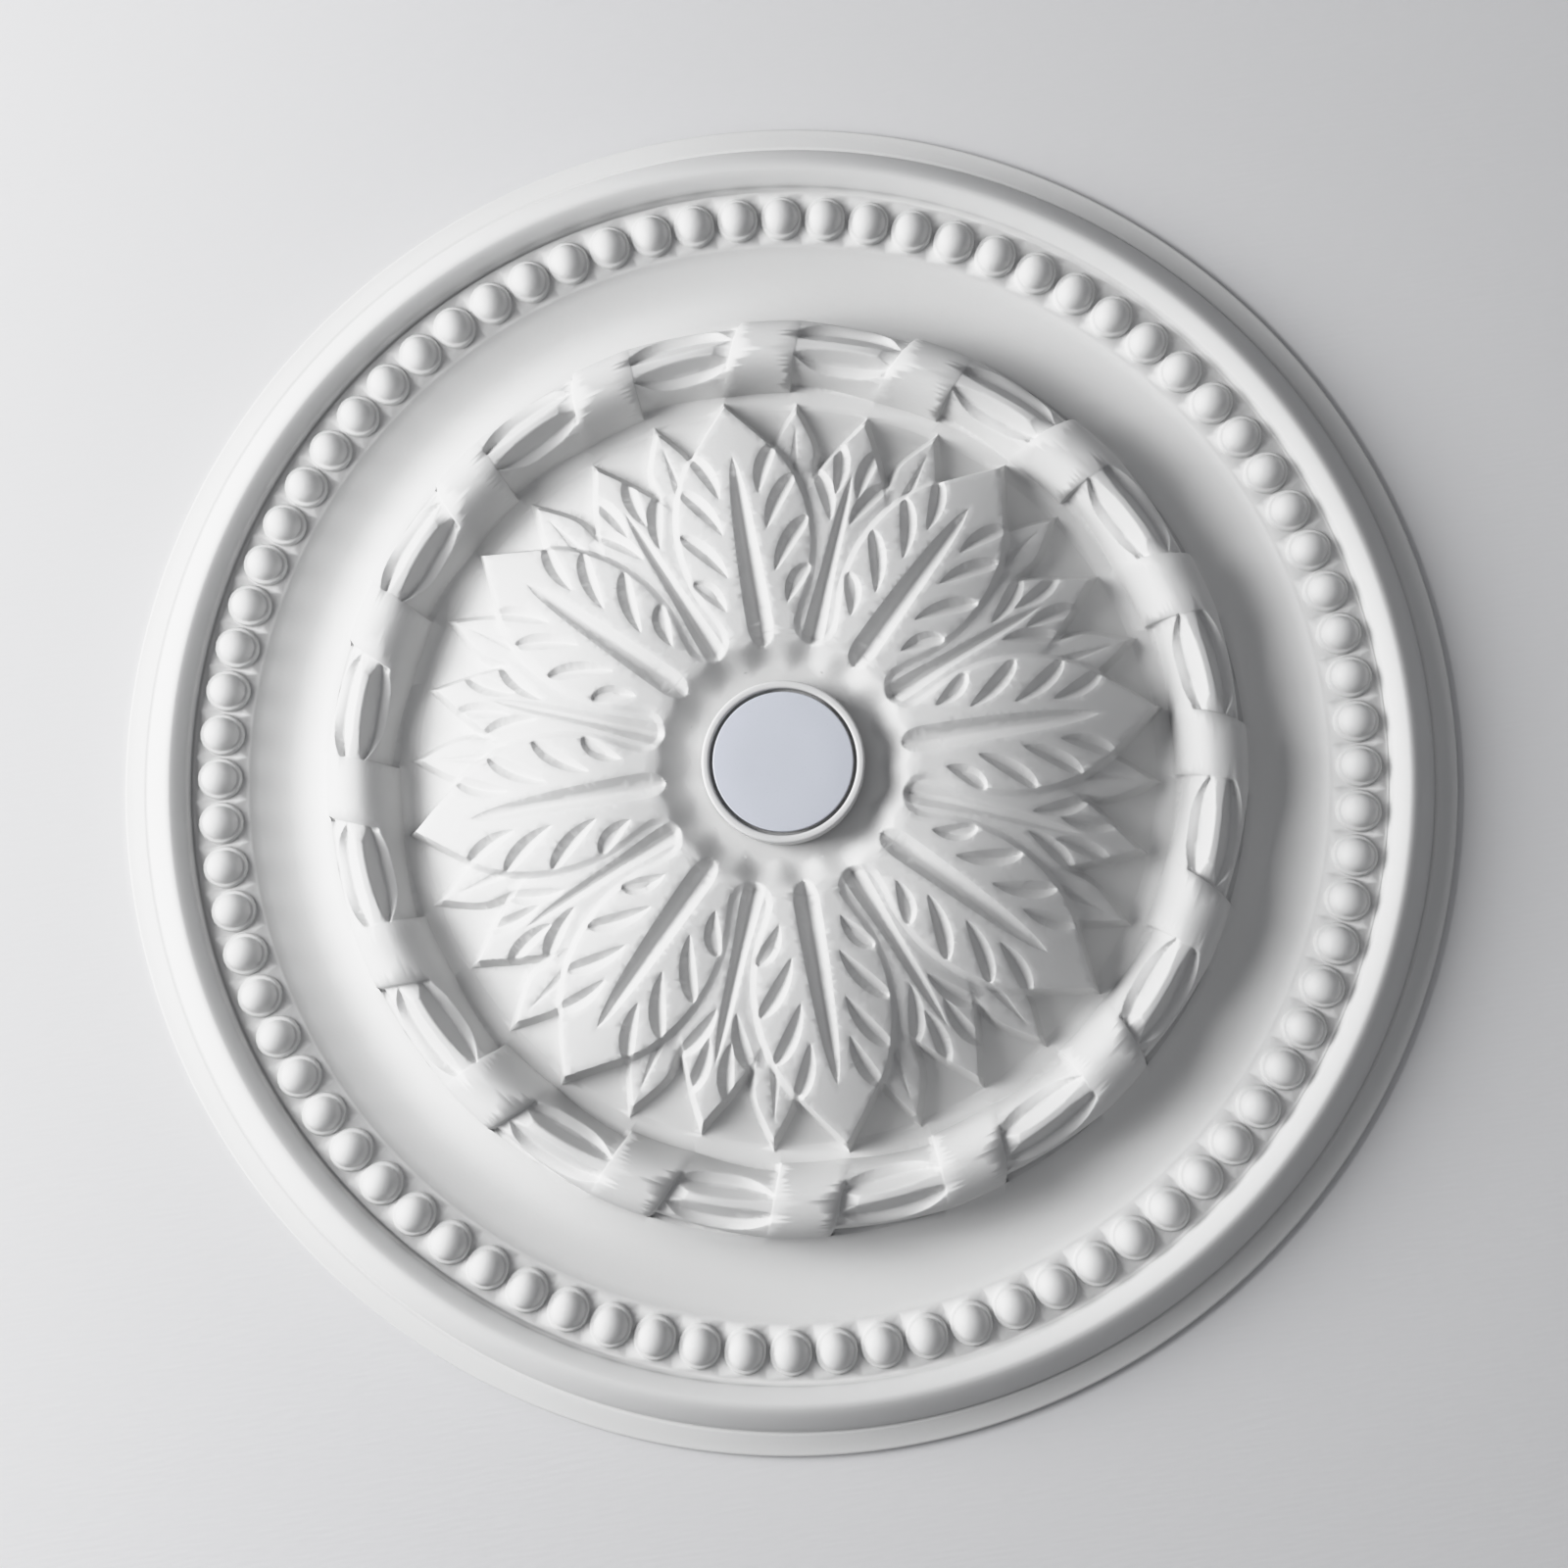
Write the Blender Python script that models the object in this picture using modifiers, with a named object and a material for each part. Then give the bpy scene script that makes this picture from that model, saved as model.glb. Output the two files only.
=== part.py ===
"""Ceiling rose: a plaster casting with beads, a bound garland and three tiers of leaves,
and a small round cover of two pieces in the middle.

Everything is modelled face up, with its height measured from the ceiling, and the
finished pieces are turned over to hang face down under the origin. Lengths are metres.
"""

import bmesh
import bpy
from math import cos, pi, radians, sin, sqrt
from mathutils import Matrix

# Casting: overall size and the turned mouldings, as radius and height off the ceiling
ROSE_RADIUS = 0.300
LIP_WIDTH = 0.0075
STEP_WIDTH = 0.0043
RIM_OUTER_WIDTH = 0.0133
RIM_INNER_WIDTH = 0.0071
QUIRK_WIDTH = 0.0012
BEAD_BED_WIDTH = 0.0260
COVE_SLOPE_WIDTH = 0.0196
COVE_FLOOR_WIDTH = 0.0180
RING_WIDTH = 0.0350
LIP_BAND_RADIUS = ROSE_RADIUS - LIP_WIDTH
RIM_OUTER_RADIUS = LIP_BAND_RADIUS - STEP_WIDTH
RIM_CREST_RADIUS = RIM_OUTER_RADIUS - RIM_OUTER_WIDTH
RIM_EDGE_RADIUS = RIM_CREST_RADIUS - RIM_INNER_WIDTH
RIM_INNER_RADIUS = RIM_EDGE_RADIUS - QUIRK_WIDTH
COVE_OUTER_RADIUS = RIM_INNER_RADIUS - BEAD_BED_WIDTH
COVE_LOW_RADIUS = COVE_OUTER_RADIUS - COVE_SLOPE_WIDTH
RING_OUTER_RADIUS = COVE_LOW_RADIUS - COVE_FLOOR_WIDTH
RING_INNER_RADIUS = RING_OUTER_RADIUS - RING_WIDTH
TURNED_STEPS = 80
LIP_HEIGHT = 0.0035
LIP_BAND_HEIGHT = 0.0070
RIM_OUTER_HEIGHT = 0.0084
RIM_CREST_HEIGHT = 0.0220
RIM_EDGE_HEIGHT = 0.0180
BEAD_BED_HEIGHT = 0.0125
COVE_LOW_HEIGHT = 0.0075
RING_FOOT_HEIGHT = 0.0130
RING_CREST_HEIGHT = 0.0345
RING_ARC_STEPS = 5
RIM_SIDE_STEPS = 2
RING_TURNED_STEPS = 48
RING_BURIAL = 0.0010

# Dome under the leaves and the dish in the middle
CAP_RADIUS = 0.0351
DISH_MARGIN = 0.0149
DISH_SLOPE_WIDTH = 0.0160
DOME_OVERLAP = 0.0080
DISH_RADIUS = CAP_RADIUS + DISH_MARGIN
DOME_CREST_RADIUS = DISH_RADIUS + DISH_SLOPE_WIDTH
DOME_FOOT_RADIUS = RING_INNER_RADIUS + DOME_OVERLAP
DOME_FOOT_HEIGHT = 0.0140
DOME_CREST_HEIGHT = 0.0500
DISH_DEPTH = 0.0035
DISH_HEIGHT = DOME_CREST_HEIGHT - DISH_DEPTH
DOME_STEPS = 4
DOME_TURNED_STEPS = 32

# Beads
BEAD_COUNT = 80
BEAD_SETBACK = 0.0129
BEAD_GAP = 0.0022
BEAD_CIRCLE_RADIUS = RIM_INNER_RADIUS - BEAD_SETBACK
BEAD_HALF_WIDTH = pi * BEAD_CIRCLE_RADIUS / BEAD_COUNT - BEAD_GAP / 2.0
BEAD_HALF_LENGTH = 0.0094
BEAD_HALF_HEIGHT = 0.0090
BEAD_SINK = 0.0008
BEAD_SEGMENTS = 6
BEAD_RINGS = 4

# Garland: smooth bands over a ring, and two long gouges in each gap between bands
GARLAND_CELLS = 16
CELL_OFFSET = radians(4.5)
CELL_ANGLE = radians(14.6)
BAND_RISE = 0.0018
BAND_SKEW = radians(0.9)
GOUGE_ANGLE = radians(13.0)
GOUGE_HALF_WIDTH = 0.0046
GOUGE_END_WIDTH = 0.0003
GOUGE_SINK = 0.0006
GOUGE_OUTER_INSET = 0.0075
GOUGE_INNER_INSET = 0.0148
GOUGE_OUTER_CIRCLE = RING_OUTER_RADIUS - GOUGE_OUTER_INSET
GOUGE_INNER_CIRCLE = RING_INNER_RADIUS + GOUGE_INNER_INSET

# Leaves: tip radius, radius and half width of base and of widest place, and rise off the dome
LEAF_FIELD = RING_INNER_RADIUS
FRONT_LEAVES = 8
FRONT_TIP_RADIUS = 1.010 * LEAF_FIELD
FRONT_BASE = (0.315 * LEAF_FIELD, 0.126 * LEAF_FIELD)
FRONT_WIDEST = (0.650 * LEAF_FIELD, 0.187 * LEAF_FIELD)
FRONT_OUTLINE_STEPS = 4
FRONT_RISE = 0.0060
BACK_TIP_RADIUS = 0.982 * LEAF_FIELD
BACK_BASE = (0.430 * LEAF_FIELD, 0.072 * LEAF_FIELD)
BACK_WIDEST = (0.670 * LEAF_FIELD, 0.140 * LEAF_FIELD)
BACK_OUTLINE_STEPS = 3
BACK_RISE = 0.0036
SMALL_TIP_RADIUS = 0.997 * LEAF_FIELD
SMALL_BASE = (0.774 * LEAF_FIELD, 0.048 * LEAF_FIELD)
SMALL_WIDEST = (0.846 * LEAF_FIELD, 0.064 * LEAF_FIELD)
SMALL_OUTLINE_STEPS = 2
SMALL_RISE = 0.0018
LEAF_CURVE = 1.8

# Heights inside the casting where joined shapes end, and one above everything but the cover
TRIM_HEIGHT = 0.0025
BURIED_HEIGHT = 0.0050
BAND_BASE_HEIGHT = 0.0100
CLEAR_MARGIN = 0.0200
CLEAR_HEIGHT = DOME_CREST_HEIGHT + CLEAR_MARGIN

# Grooves cut in the leaves, as stations of radius and half width from the middle outward
MIDRIB_STATIONS = ((0.352 * LEAF_FIELD, 0.0044), (0.548 * LEAF_FIELD, 0.0056),
                   (0.855 * LEAF_FIELD, 0.0003))
POCKET_STATIONS = ((0.372 * LEAF_FIELD, 0.0044), (0.464 * LEAF_FIELD, 0.0062),
                   (0.720 * LEAF_FIELD, 0.0003))

# Cover in the middle
CAP_STEPS = 32
COVER_GAP = 0.0003
CAP_THICKNESS = 0.0127
CAP_FOOT_HEIGHT = DISH_HEIGHT + COVER_GAP
CAP_TOP_HEIGHT = CAP_FOOT_HEIGHT + CAP_THICKNESS
CAP_EDGE_BEVEL = 0.0014
CAP_WALL = 0.0034
SEAT_RADIUS = CAP_RADIUS - CAP_WALL
DISC_CLEARANCE = 0.0015
DISC_RADIUS = SEAT_RADIUS - DISC_CLEARANCE
DISC_INSET = 0.0003
DISC_THICKNESS = 0.0044
DISC_TOP_HEIGHT = CAP_TOP_HEIGHT - DISC_INSET
DISC_FOOT_HEIGHT = DISC_TOP_HEIGHT - DISC_THICKNESS
CAP_SEAT_HEIGHT = DISC_FOOT_HEIGHT - COVER_GAP
DISC_EDGE_BEVEL = 0.0006

# Surface: colour, roughness and metallic of each material
PLASTER_COLOUR = (0.86, 0.86, 0.86, 1.0)
PLASTER_ROUGHNESS = 0.72
RING_COLOUR = (0.88, 0.88, 0.88, 1.0)
RING_ROUGHNESS = 0.38
DISC_COLOUR = (0.76, 0.78, 0.82, 1.0)
DISC_ROUGHNESS = 0.30

SMOOTH_ANGLE = radians(32.0)
WELD_DISTANCE = 0.00002
TURN_OVER = Matrix.Rotation(pi, 4, "Y")


def clear_scene():
    for old in list(bpy.data.objects):
        bpy.data.objects.remove(old, do_unlink=True)


def new_collection(name):
    collection = bpy.data.collections.new(name)
    bpy.context.scene.collection.children.link(collection)
    return collection


def new_material(name, colour, roughness):
    material = bpy.data.materials.new(name)
    material.use_nodes = True
    shader = material.node_tree.nodes["Principled BSDF"]
    shader.inputs["Base Color"].default_value = colour
    shader.inputs["Roughness"].default_value = roughness
    shader.inputs["Metallic"].default_value = 0.0
    material.diffuse_color = colour
    return material


def new_object(name, data, collection):
    made = bpy.data.objects.new(name, data)
    collection.objects.link(made)
    return made


def to_mesh(source):
    """Give the object's shape, with its modifiers, as a welded plain mesh."""
    bpy.context.view_layer.update()
    evaluated = source.evaluated_get(bpy.context.evaluated_depsgraph_get())
    mesh = bpy.data.meshes.new_from_object(evaluated)
    shape = bmesh.new()
    shape.from_mesh(mesh)
    bmesh.ops.remove_doubles(shape, verts=shape.verts, dist=WELD_DISTANCE)
    bmesh.ops.recalc_face_normals(shape, faces=shape.faces)
    shape.to_mesh(mesh)
    shape.free()
    return mesh


def replace_with_mesh(source, collection):
    """Swap an object for a plain one of the same name that holds its finished shape."""
    name = source.name
    mesh = to_mesh(source)
    bpy.data.objects.remove(source, do_unlink=True)
    mesh.name = name
    return new_object(name, mesh, collection)


def turned(name, profile, steps, collection, facing=0.0):
    """Turn a profile, running from the top centre down its outer side, with a facet facing an angle."""
    mesh = bpy.data.meshes.new(name)
    start = facing + pi / steps
    points = [(radius * cos(start), radius * sin(start), height) for radius, height in profile]
    edges = [(index, index + 1) for index in range(len(points) - 1)]
    mesh.from_pydata(points, edges, [])
    outline = new_object(name, mesh, collection)
    screw = outline.modifiers.new("Turn", "SCREW")
    screw.angle = 2.0 * pi
    screw.steps = steps
    screw.render_steps = steps
    screw.use_merge_vertices = True
    screw.merge_threshold = WELD_DISTANCE
    return replace_with_mesh(outline, collection)


def prisms(name, outlines, bottom, top, collection):
    """Stand filled outlines up as straight prisms between two heights."""
    curve = bpy.data.curves.new(name, "CURVE")
    curve.dimensions = "2D"
    curve.fill_mode = "BOTH"
    curve.extrude = (top - bottom) / 2.0
    for outline in outlines:
        spline = curve.splines.new("POLY")
        spline.points.add(len(outline) - 1)
        for point, (x, y) in zip(spline.points, outline):
            point.co = (x, y, 0.0, 1.0)
        spline.use_cyclic_u = True
    standing = new_object(name, curve, collection)
    standing.location.z = (top + bottom) / 2.0
    bpy.context.view_layer.update()
    lift = standing.matrix_world.copy()
    made = replace_with_mesh(standing, collection)
    made.data.transform(lift)
    return made


def grooves(name, paths, collection):
    """Sweep a four-sided section along each path; each point has its own half width."""
    curve = bpy.data.curves.new(name, "CURVE")
    curve.dimensions = "3D"
    curve.fill_mode = "FULL"
    curve.twist_mode = "Z_UP"
    curve.bevel_depth = 1.0
    curve.bevel_resolution = 0
    curve.use_fill_caps = True
    for path in paths:
        spline = curve.splines.new("POLY")
        spline.points.add(len(path) - 1)
        for point, (x, y, z, half_width) in zip(spline.points, path):
            point.co = (x, y, z, 1.0)
            point.radius = half_width
    return replace_with_mesh(new_object(name, curve, collection), collection)


def combine(target, tool, operation, collection):
    """Join, cut or intersect the target with a tool, and put the tool away."""
    boolean = target.modifiers.new(operation.title(), "BOOLEAN")
    boolean.operation = operation
    boolean.solver = "EXACT"
    boolean.object = tool
    joined = replace_with_mesh(target, collection)
    bpy.data.objects.remove(tool, do_unlink=True)
    return joined


def arc_points(start, crest_height, end, steps):
    """Give points of a half-round moulding between two feet, without the feet."""
    points = []
    for step in range(1, steps):
        angle = pi * step / steps
        share = (1.0 - cos(angle)) / 2.0
        radius = start[0] + (end[0] - start[0]) * share
        foot = start[1] + (end[1] - start[1]) * share
        points.append((radius, foot + (crest_height - foot) * sin(angle)))
    return points


def rim_outer_side():
    """Give points down the rim's swelling outer side, from its crest to its foot."""
    points = []
    for step in range(RIM_SIDE_STEPS + 1):
        angle = pi / 2.0 * (1.0 - step / RIM_SIDE_STEPS)
        radius = RIM_CREST_RADIUS + (RIM_OUTER_RADIUS - RIM_CREST_RADIUS) * cos(angle)
        height = RIM_OUTER_HEIGHT + (RIM_CREST_HEIGHT - RIM_OUTER_HEIGHT) * sin(angle)
        points.append((radius, height))
    return points


def dome_height(radius):
    """Height of the dome under the leaves: convex, then down into the dish."""
    if radius >= DOME_FOOT_RADIUS:
        return DOME_FOOT_HEIGHT
    if radius >= DOME_CREST_RADIUS:
        share = (DOME_FOOT_RADIUS - radius) / (DOME_FOOT_RADIUS - DOME_CREST_RADIUS)
        return DOME_FOOT_HEIGHT + (DOME_CREST_HEIGHT - DOME_FOOT_HEIGHT) * sin(share * pi / 2.0)
    share = max(0.0, (radius - DISH_RADIUS) / (DOME_CREST_RADIUS - DISH_RADIUS))
    return DISH_HEIGHT + (DOME_CREST_HEIGHT - DISH_HEIGHT) * share


def dome_profile(rise):
    """Give the dome's outline from the dish out to its foot, raised by an amount."""
    points = [(DISH_RADIUS, DISH_HEIGHT)]
    for step in range(DOME_STEPS + 1):
        share = step / DOME_STEPS
        radius = DOME_CREST_RADIUS + (DOME_FOOT_RADIUS - DOME_CREST_RADIUS) * share
        points.append((radius, dome_height(radius) + rise))
    return points


def casting_profile():
    """Give the casting's turned outline from the middle of its face round to its back."""
    points = [(0.0, RING_FOOT_HEIGHT), (RING_OUTER_RADIUS, RING_FOOT_HEIGHT)]
    points += [(COVE_LOW_RADIUS, COVE_LOW_HEIGHT)]
    points += [(COVE_OUTER_RADIUS, BEAD_BED_HEIGHT), (RIM_INNER_RADIUS, BEAD_BED_HEIGHT)]
    points += [(RIM_EDGE_RADIUS, RIM_EDGE_HEIGHT)] + rim_outer_side()
    points += [(LIP_BAND_RADIUS, LIP_BAND_HEIGHT), (ROSE_RADIUS, LIP_HEIGHT)]
    points += [(ROSE_RADIUS, 0.0), (0.0, 0.0)]
    return points


def polar(radius, angle):
    return (radius * cos(angle), radius * sin(angle))


def leaf_outline(angle, base, widest, tip, outer_steps):
    """Give one leaf's outline in plan, pointing outward along an angle.

    The base and the widest place are each a radius and a half width, and the tip a radius.
    """
    side = [base]
    for step in range(outer_steps):
        along = step / outer_steps
        radius = widest[0] + (tip - widest[0]) * along
        side.append((radius, widest[1] * (1.0 - along ** LEAF_CURVE)))
    local = side + [(tip, 0.0)]
    local += [(radius, -width) for radius, width in reversed(side)]
    outline = []
    for along, across in local:
        x = along * cos(angle) - across * sin(angle)
        y = along * sin(angle) + across * cos(angle)
        outline.append((x, y))
    return outline[::-1]


def leaf_tier(name, outlines, rise, collection):
    """Make a tier of leaves as plan shapes trimmed by a dome that stands off the casting."""
    tier = prisms(name, outlines, BURIED_HEIGHT, CLEAR_HEIGHT, collection)
    return combine(tier, leaf_dome(name + "_trim", rise, TRIM_HEIGHT, collection), "INTERSECT", collection)


def leaf_dome(name, rise, bottom, collection):
    """Turn the dome that carries the leaves, from the dish to its foot, raised by an amount."""
    profile = [(0.0, DISH_HEIGHT)] + dome_profile(rise)
    profile += [(DOME_FOOT_RADIUS, bottom), (0.0, bottom)]
    return turned(name, profile, DOME_TURNED_STEPS, collection)


def garland_ring(name, swell, collection):
    """Turn the half-round garland ring on a buried base; a swell makes it fuller all over."""
    inner = (RING_INNER_RADIUS - swell, RING_FOOT_HEIGHT - RING_BURIAL)
    outer = (RING_OUTER_RADIUS + swell, RING_FOOT_HEIGHT - RING_BURIAL)
    profile = [(0.0, inner[1]), inner]
    profile += arc_points(inner, RING_CREST_HEIGHT + swell, outer, RING_ARC_STEPS)
    profile += [outer, (outer[0], BURIED_HEIGHT), (0.0, BURIED_HEIGHT)]
    facing = CELL_OFFSET + pi / GARLAND_CELLS
    return turned(name, profile, RING_TURNED_STEPS, collection, facing)


def band_outline(angle):
    """Give the plan shape of one garland band, with slightly slanting ends."""
    half = (2.0 * pi / GARLAND_CELLS - CELL_ANGLE) / 2.0
    inner = RING_INNER_RADIUS - 2.0 * BAND_RISE
    outer = RING_OUTER_RADIUS + 2.0 * BAND_RISE
    return [polar(inner, angle - half - BAND_SKEW), polar(outer, angle - half + BAND_SKEW),
            polar(outer, angle + half + BAND_SKEW), polar(inner, angle + half - BAND_SKEW)]


def garland_bands(collection):
    """Make the smooth bands as plan shapes trimmed by a slightly fuller ring."""
    pitch = 2.0 * pi / GARLAND_CELLS
    outlines = [band_outline(CELL_OFFSET + pitch * (index + 0.5)) for index in range(GARLAND_CELLS)]
    bands = prisms("garland_bands", outlines, BAND_BASE_HEIGHT, CLEAR_HEIGHT, collection)
    return combine(bands, garland_ring("band_trim", BAND_RISE, collection), "INTERSECT", collection)


def ring_height(radius):
    """Height of the plain garland ring at a radius."""
    middle = (RING_OUTER_RADIUS + RING_INNER_RADIUS) / 2.0
    half = (RING_OUTER_RADIUS - RING_INNER_RADIUS) / 2.0
    across = (radius - middle) / half
    rise = (RING_CREST_HEIGHT - RING_FOOT_HEIGHT) * sqrt(max(0.0, 1.0 - across * across))
    return RING_FOOT_HEIGHT + rise


def gouge_cutters(collection):
    """Make the long almond cutters that leave a reed standing between them."""
    pitch = 2.0 * pi / GARLAND_CELLS
    paths = []
    for index in range(GARLAND_CELLS):
        middle = CELL_OFFSET + pitch * index
        for circle in (GOUGE_INNER_CIRCLE, GOUGE_OUTER_CIRCLE):
            path = []
            height = ring_height(circle) - GOUGE_SINK
            stations = ((-1.0, GOUGE_END_WIDTH), (0.0, GOUGE_HALF_WIDTH), (1.0, GOUGE_END_WIDTH))
            for share, half_width in stations:
                x, y = polar(circle, middle + share * GOUGE_ANGLE / 2.0)
                path.append((x, y, height, half_width))
            paths.append(path)
    return grooves("garland_gouges", paths, collection)


def bead_blank(collection):
    """Make one egg-shaped bead, half sunk in its bed, on the +X side."""
    mesh = bpy.data.meshes.new("bead")
    shape = bmesh.new()
    bmesh.ops.create_uvsphere(shape, u_segments=BEAD_SEGMENTS, v_segments=BEAD_RINGS, radius=1.0)
    size = Matrix.Diagonal((BEAD_HALF_LENGTH, BEAD_HALF_WIDTH, BEAD_HALF_HEIGHT, 1.0))
    half_turn = Matrix.Rotation(pi / BEAD_SEGMENTS, 4, "Z")
    place = Matrix.Translation((BEAD_CIRCLE_RADIUS, 0.0, BEAD_BED_HEIGHT - BEAD_SINK))
    bmesh.ops.transform(shape, matrix=place @ size @ half_turn, verts=shape.verts)
    shape.to_mesh(mesh)
    shape.free()
    return new_object("bead", mesh, collection)


def bead_ring(collection):
    """Repeat one bead round the channel."""
    blank = bead_blank(collection)
    mesh = bpy.data.meshes.new("beads")
    shape = bmesh.new()
    for index in range(BEAD_COUNT):
        before = set(shape.verts)
        shape.from_mesh(blank.data)
        added = [vertex for vertex in shape.verts if vertex not in before]
        turn = Matrix.Rotation(2.0 * pi * index / BEAD_COUNT, 4, "Z")
        bmesh.ops.transform(shape, matrix=turn, verts=added)
    shape.to_mesh(mesh)
    shape.free()
    bpy.data.objects.remove(blank, do_unlink=True)
    return new_object("beads", mesh, collection)


def radial_groove(angle, stations, rise):
    """Give a groove's path along a radius over the dome, from stations of radius and half width."""
    path = []
    for radius, half_width in stations:
        x, y = polar(radius, angle)
        path.append((x, y, dome_height(radius) + rise, half_width))
    return path


def leaf_groove_cutters(collection):
    """Make the cutters of the front leaves' midribs and the back leaves' pockets."""
    pitch = 2.0 * pi / FRONT_LEAVES
    paths = []
    for index in range(FRONT_LEAVES):
        paths.append(radial_groove(pitch * index, MIDRIB_STATIONS, FRONT_RISE))
        paths.append(radial_groove(pitch * (index + 0.5), POCKET_STATIONS, BACK_RISE))
    return grooves("leaf_grooves", paths, collection)


def rose_casting(material, collection):
    """Join the turned body, the leaves, the garland bands and the beads, then cut the grooves."""
    casting = turned("rose_casting", casting_profile(), TURNED_STEPS, collection)
    pitch = 2.0 * pi / FRONT_LEAVES
    front_angles = [pitch * index for index in range(FRONT_LEAVES)]
    back_angles = [angle + pitch / 2.0 for angle in front_angles]
    small_angles = [angle + pitch * quarter for angle in front_angles for quarter in (0.25, 0.75)]
    front_outlines = [leaf_outline(angle, FRONT_BASE, FRONT_WIDEST, FRONT_TIP_RADIUS, FRONT_OUTLINE_STEPS)
                      for angle in front_angles]
    back_outlines = [leaf_outline(angle, BACK_BASE, BACK_WIDEST, BACK_TIP_RADIUS, BACK_OUTLINE_STEPS)
                     for angle in back_angles]
    small_outlines = [leaf_outline(angle, SMALL_BASE, SMALL_WIDEST, SMALL_TIP_RADIUS, SMALL_OUTLINE_STEPS)
                      for angle in small_angles]
    front = leaf_tier("front_leaves", front_outlines, FRONT_RISE, collection)
    back = leaf_tier("back_leaves", back_outlines, BACK_RISE, collection)
    small = leaf_tier("small_leaves", small_outlines, SMALL_RISE, collection)
    dome = leaf_dome("leaf_dome", 0.0, BURIED_HEIGHT, collection)
    ring = garland_ring("garland_ring", 0.0, collection)
    for tool in (ring, dome, small, back, front, garland_bands(collection), bead_ring(collection)):
        casting = combine(casting, tool, "UNION", collection)
    for cutter in (gouge_cutters(collection), leaf_groove_cutters(collection)):
        casting = combine(casting, cutter, "DIFFERENCE", collection)
    finish(casting, material)


def cap_ring(material, collection):
    """Turn the cover's ring, with a bevelled edge and a shallow seat for the disc."""
    edge = CAP_EDGE_BEVEL
    profile = [(0.0, CAP_SEAT_HEIGHT), (SEAT_RADIUS, CAP_SEAT_HEIGHT), (SEAT_RADIUS, CAP_TOP_HEIGHT)]
    profile += [(CAP_RADIUS - edge, CAP_TOP_HEIGHT), (CAP_RADIUS, CAP_TOP_HEIGHT - edge)]
    profile += [(CAP_RADIUS, CAP_FOOT_HEIGHT), (0.0, CAP_FOOT_HEIGHT)]
    finish(turned("cap_ring", profile, CAP_STEPS, collection), material)


def cap_disc(material, collection):
    """Turn the cover's disc, with a small bevelled edge."""
    edge = DISC_EDGE_BEVEL
    profile = [(0.0, DISC_TOP_HEIGHT), (DISC_RADIUS - edge, DISC_TOP_HEIGHT)]
    profile += [(DISC_RADIUS, DISC_TOP_HEIGHT - edge), (DISC_RADIUS, DISC_FOOT_HEIGHT)]
    profile += [(0.0, DISC_FOOT_HEIGHT)]
    finish(turned("cap_disc", profile, CAP_STEPS, collection), material)


def finish(piece, material):
    """Turn a piece over to hang face down, shade it and give it its material."""
    piece.data.transform(TURN_OVER)
    piece.data.materials.clear()
    piece.data.materials.append(material)
    piece.data.shade_smooth()
    piece.data.set_sharp_from_angle(angle=SMOOTH_ANGLE)


def main():
    clear_scene()
    collection = new_collection("ceiling_rose")
    plaster = new_material("plaster", PLASTER_COLOUR, PLASTER_ROUGHNESS)
    ring_plastic = new_material("ring_plastic", RING_COLOUR, RING_ROUGHNESS)
    disc_plastic = new_material("disc_plastic", DISC_COLOUR, DISC_ROUGHNESS)
    rose_casting(plaster, collection)
    cap_ring(ring_plastic, collection)
    cap_disc(disc_plastic, collection)


main()
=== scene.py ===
"""Dress the ceiling rose: a plaster casting with a half-round rim, a ring of beads, a bound
garland and three tiers of leaves round a dish, and a small round cover in the middle.

The relief is worked out face up, in millimetres, with heights measured from the ceiling.
Each finished piece is then turned over to hang face down under the origin, in metres.
"""

from math import cos, pi, radians, sin, sqrt

import bmesh
import bpy
import numpy as np
from mathutils import Matrix, Vector


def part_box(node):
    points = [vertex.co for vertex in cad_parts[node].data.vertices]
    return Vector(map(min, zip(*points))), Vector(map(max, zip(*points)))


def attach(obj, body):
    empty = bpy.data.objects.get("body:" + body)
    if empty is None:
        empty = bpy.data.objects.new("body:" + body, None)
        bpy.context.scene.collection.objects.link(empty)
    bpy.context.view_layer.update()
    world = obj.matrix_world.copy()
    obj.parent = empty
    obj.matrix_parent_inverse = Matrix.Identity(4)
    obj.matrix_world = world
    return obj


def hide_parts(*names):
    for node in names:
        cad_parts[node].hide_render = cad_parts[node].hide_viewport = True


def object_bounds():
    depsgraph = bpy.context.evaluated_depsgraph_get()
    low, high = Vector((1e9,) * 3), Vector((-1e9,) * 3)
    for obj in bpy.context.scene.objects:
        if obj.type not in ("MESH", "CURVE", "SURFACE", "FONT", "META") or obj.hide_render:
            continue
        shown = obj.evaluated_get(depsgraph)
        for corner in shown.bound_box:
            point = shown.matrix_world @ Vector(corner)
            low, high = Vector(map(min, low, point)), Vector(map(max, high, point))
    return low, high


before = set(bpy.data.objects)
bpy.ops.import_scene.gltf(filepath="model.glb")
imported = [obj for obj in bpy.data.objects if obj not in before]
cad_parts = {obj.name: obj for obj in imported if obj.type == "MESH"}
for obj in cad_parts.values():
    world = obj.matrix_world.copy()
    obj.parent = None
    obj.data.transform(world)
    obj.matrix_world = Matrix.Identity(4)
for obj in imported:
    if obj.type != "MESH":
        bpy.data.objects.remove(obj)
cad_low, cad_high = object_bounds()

bl_info = {
    "name": "Ceiling Rose",
    "version": (1, 0, 0),
    "blender": (4, 5, 0),
    "location": "3D View > Sidebar > Ceiling Rose",
    "description": "Builds a leafed plaster ceiling rose with a small round cover",
    "category": "Object",
}

MM = 0.001
TURN_OVER = Matrix.Diagonal((-1.0, 1.0, -1.0, 1.0))

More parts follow.
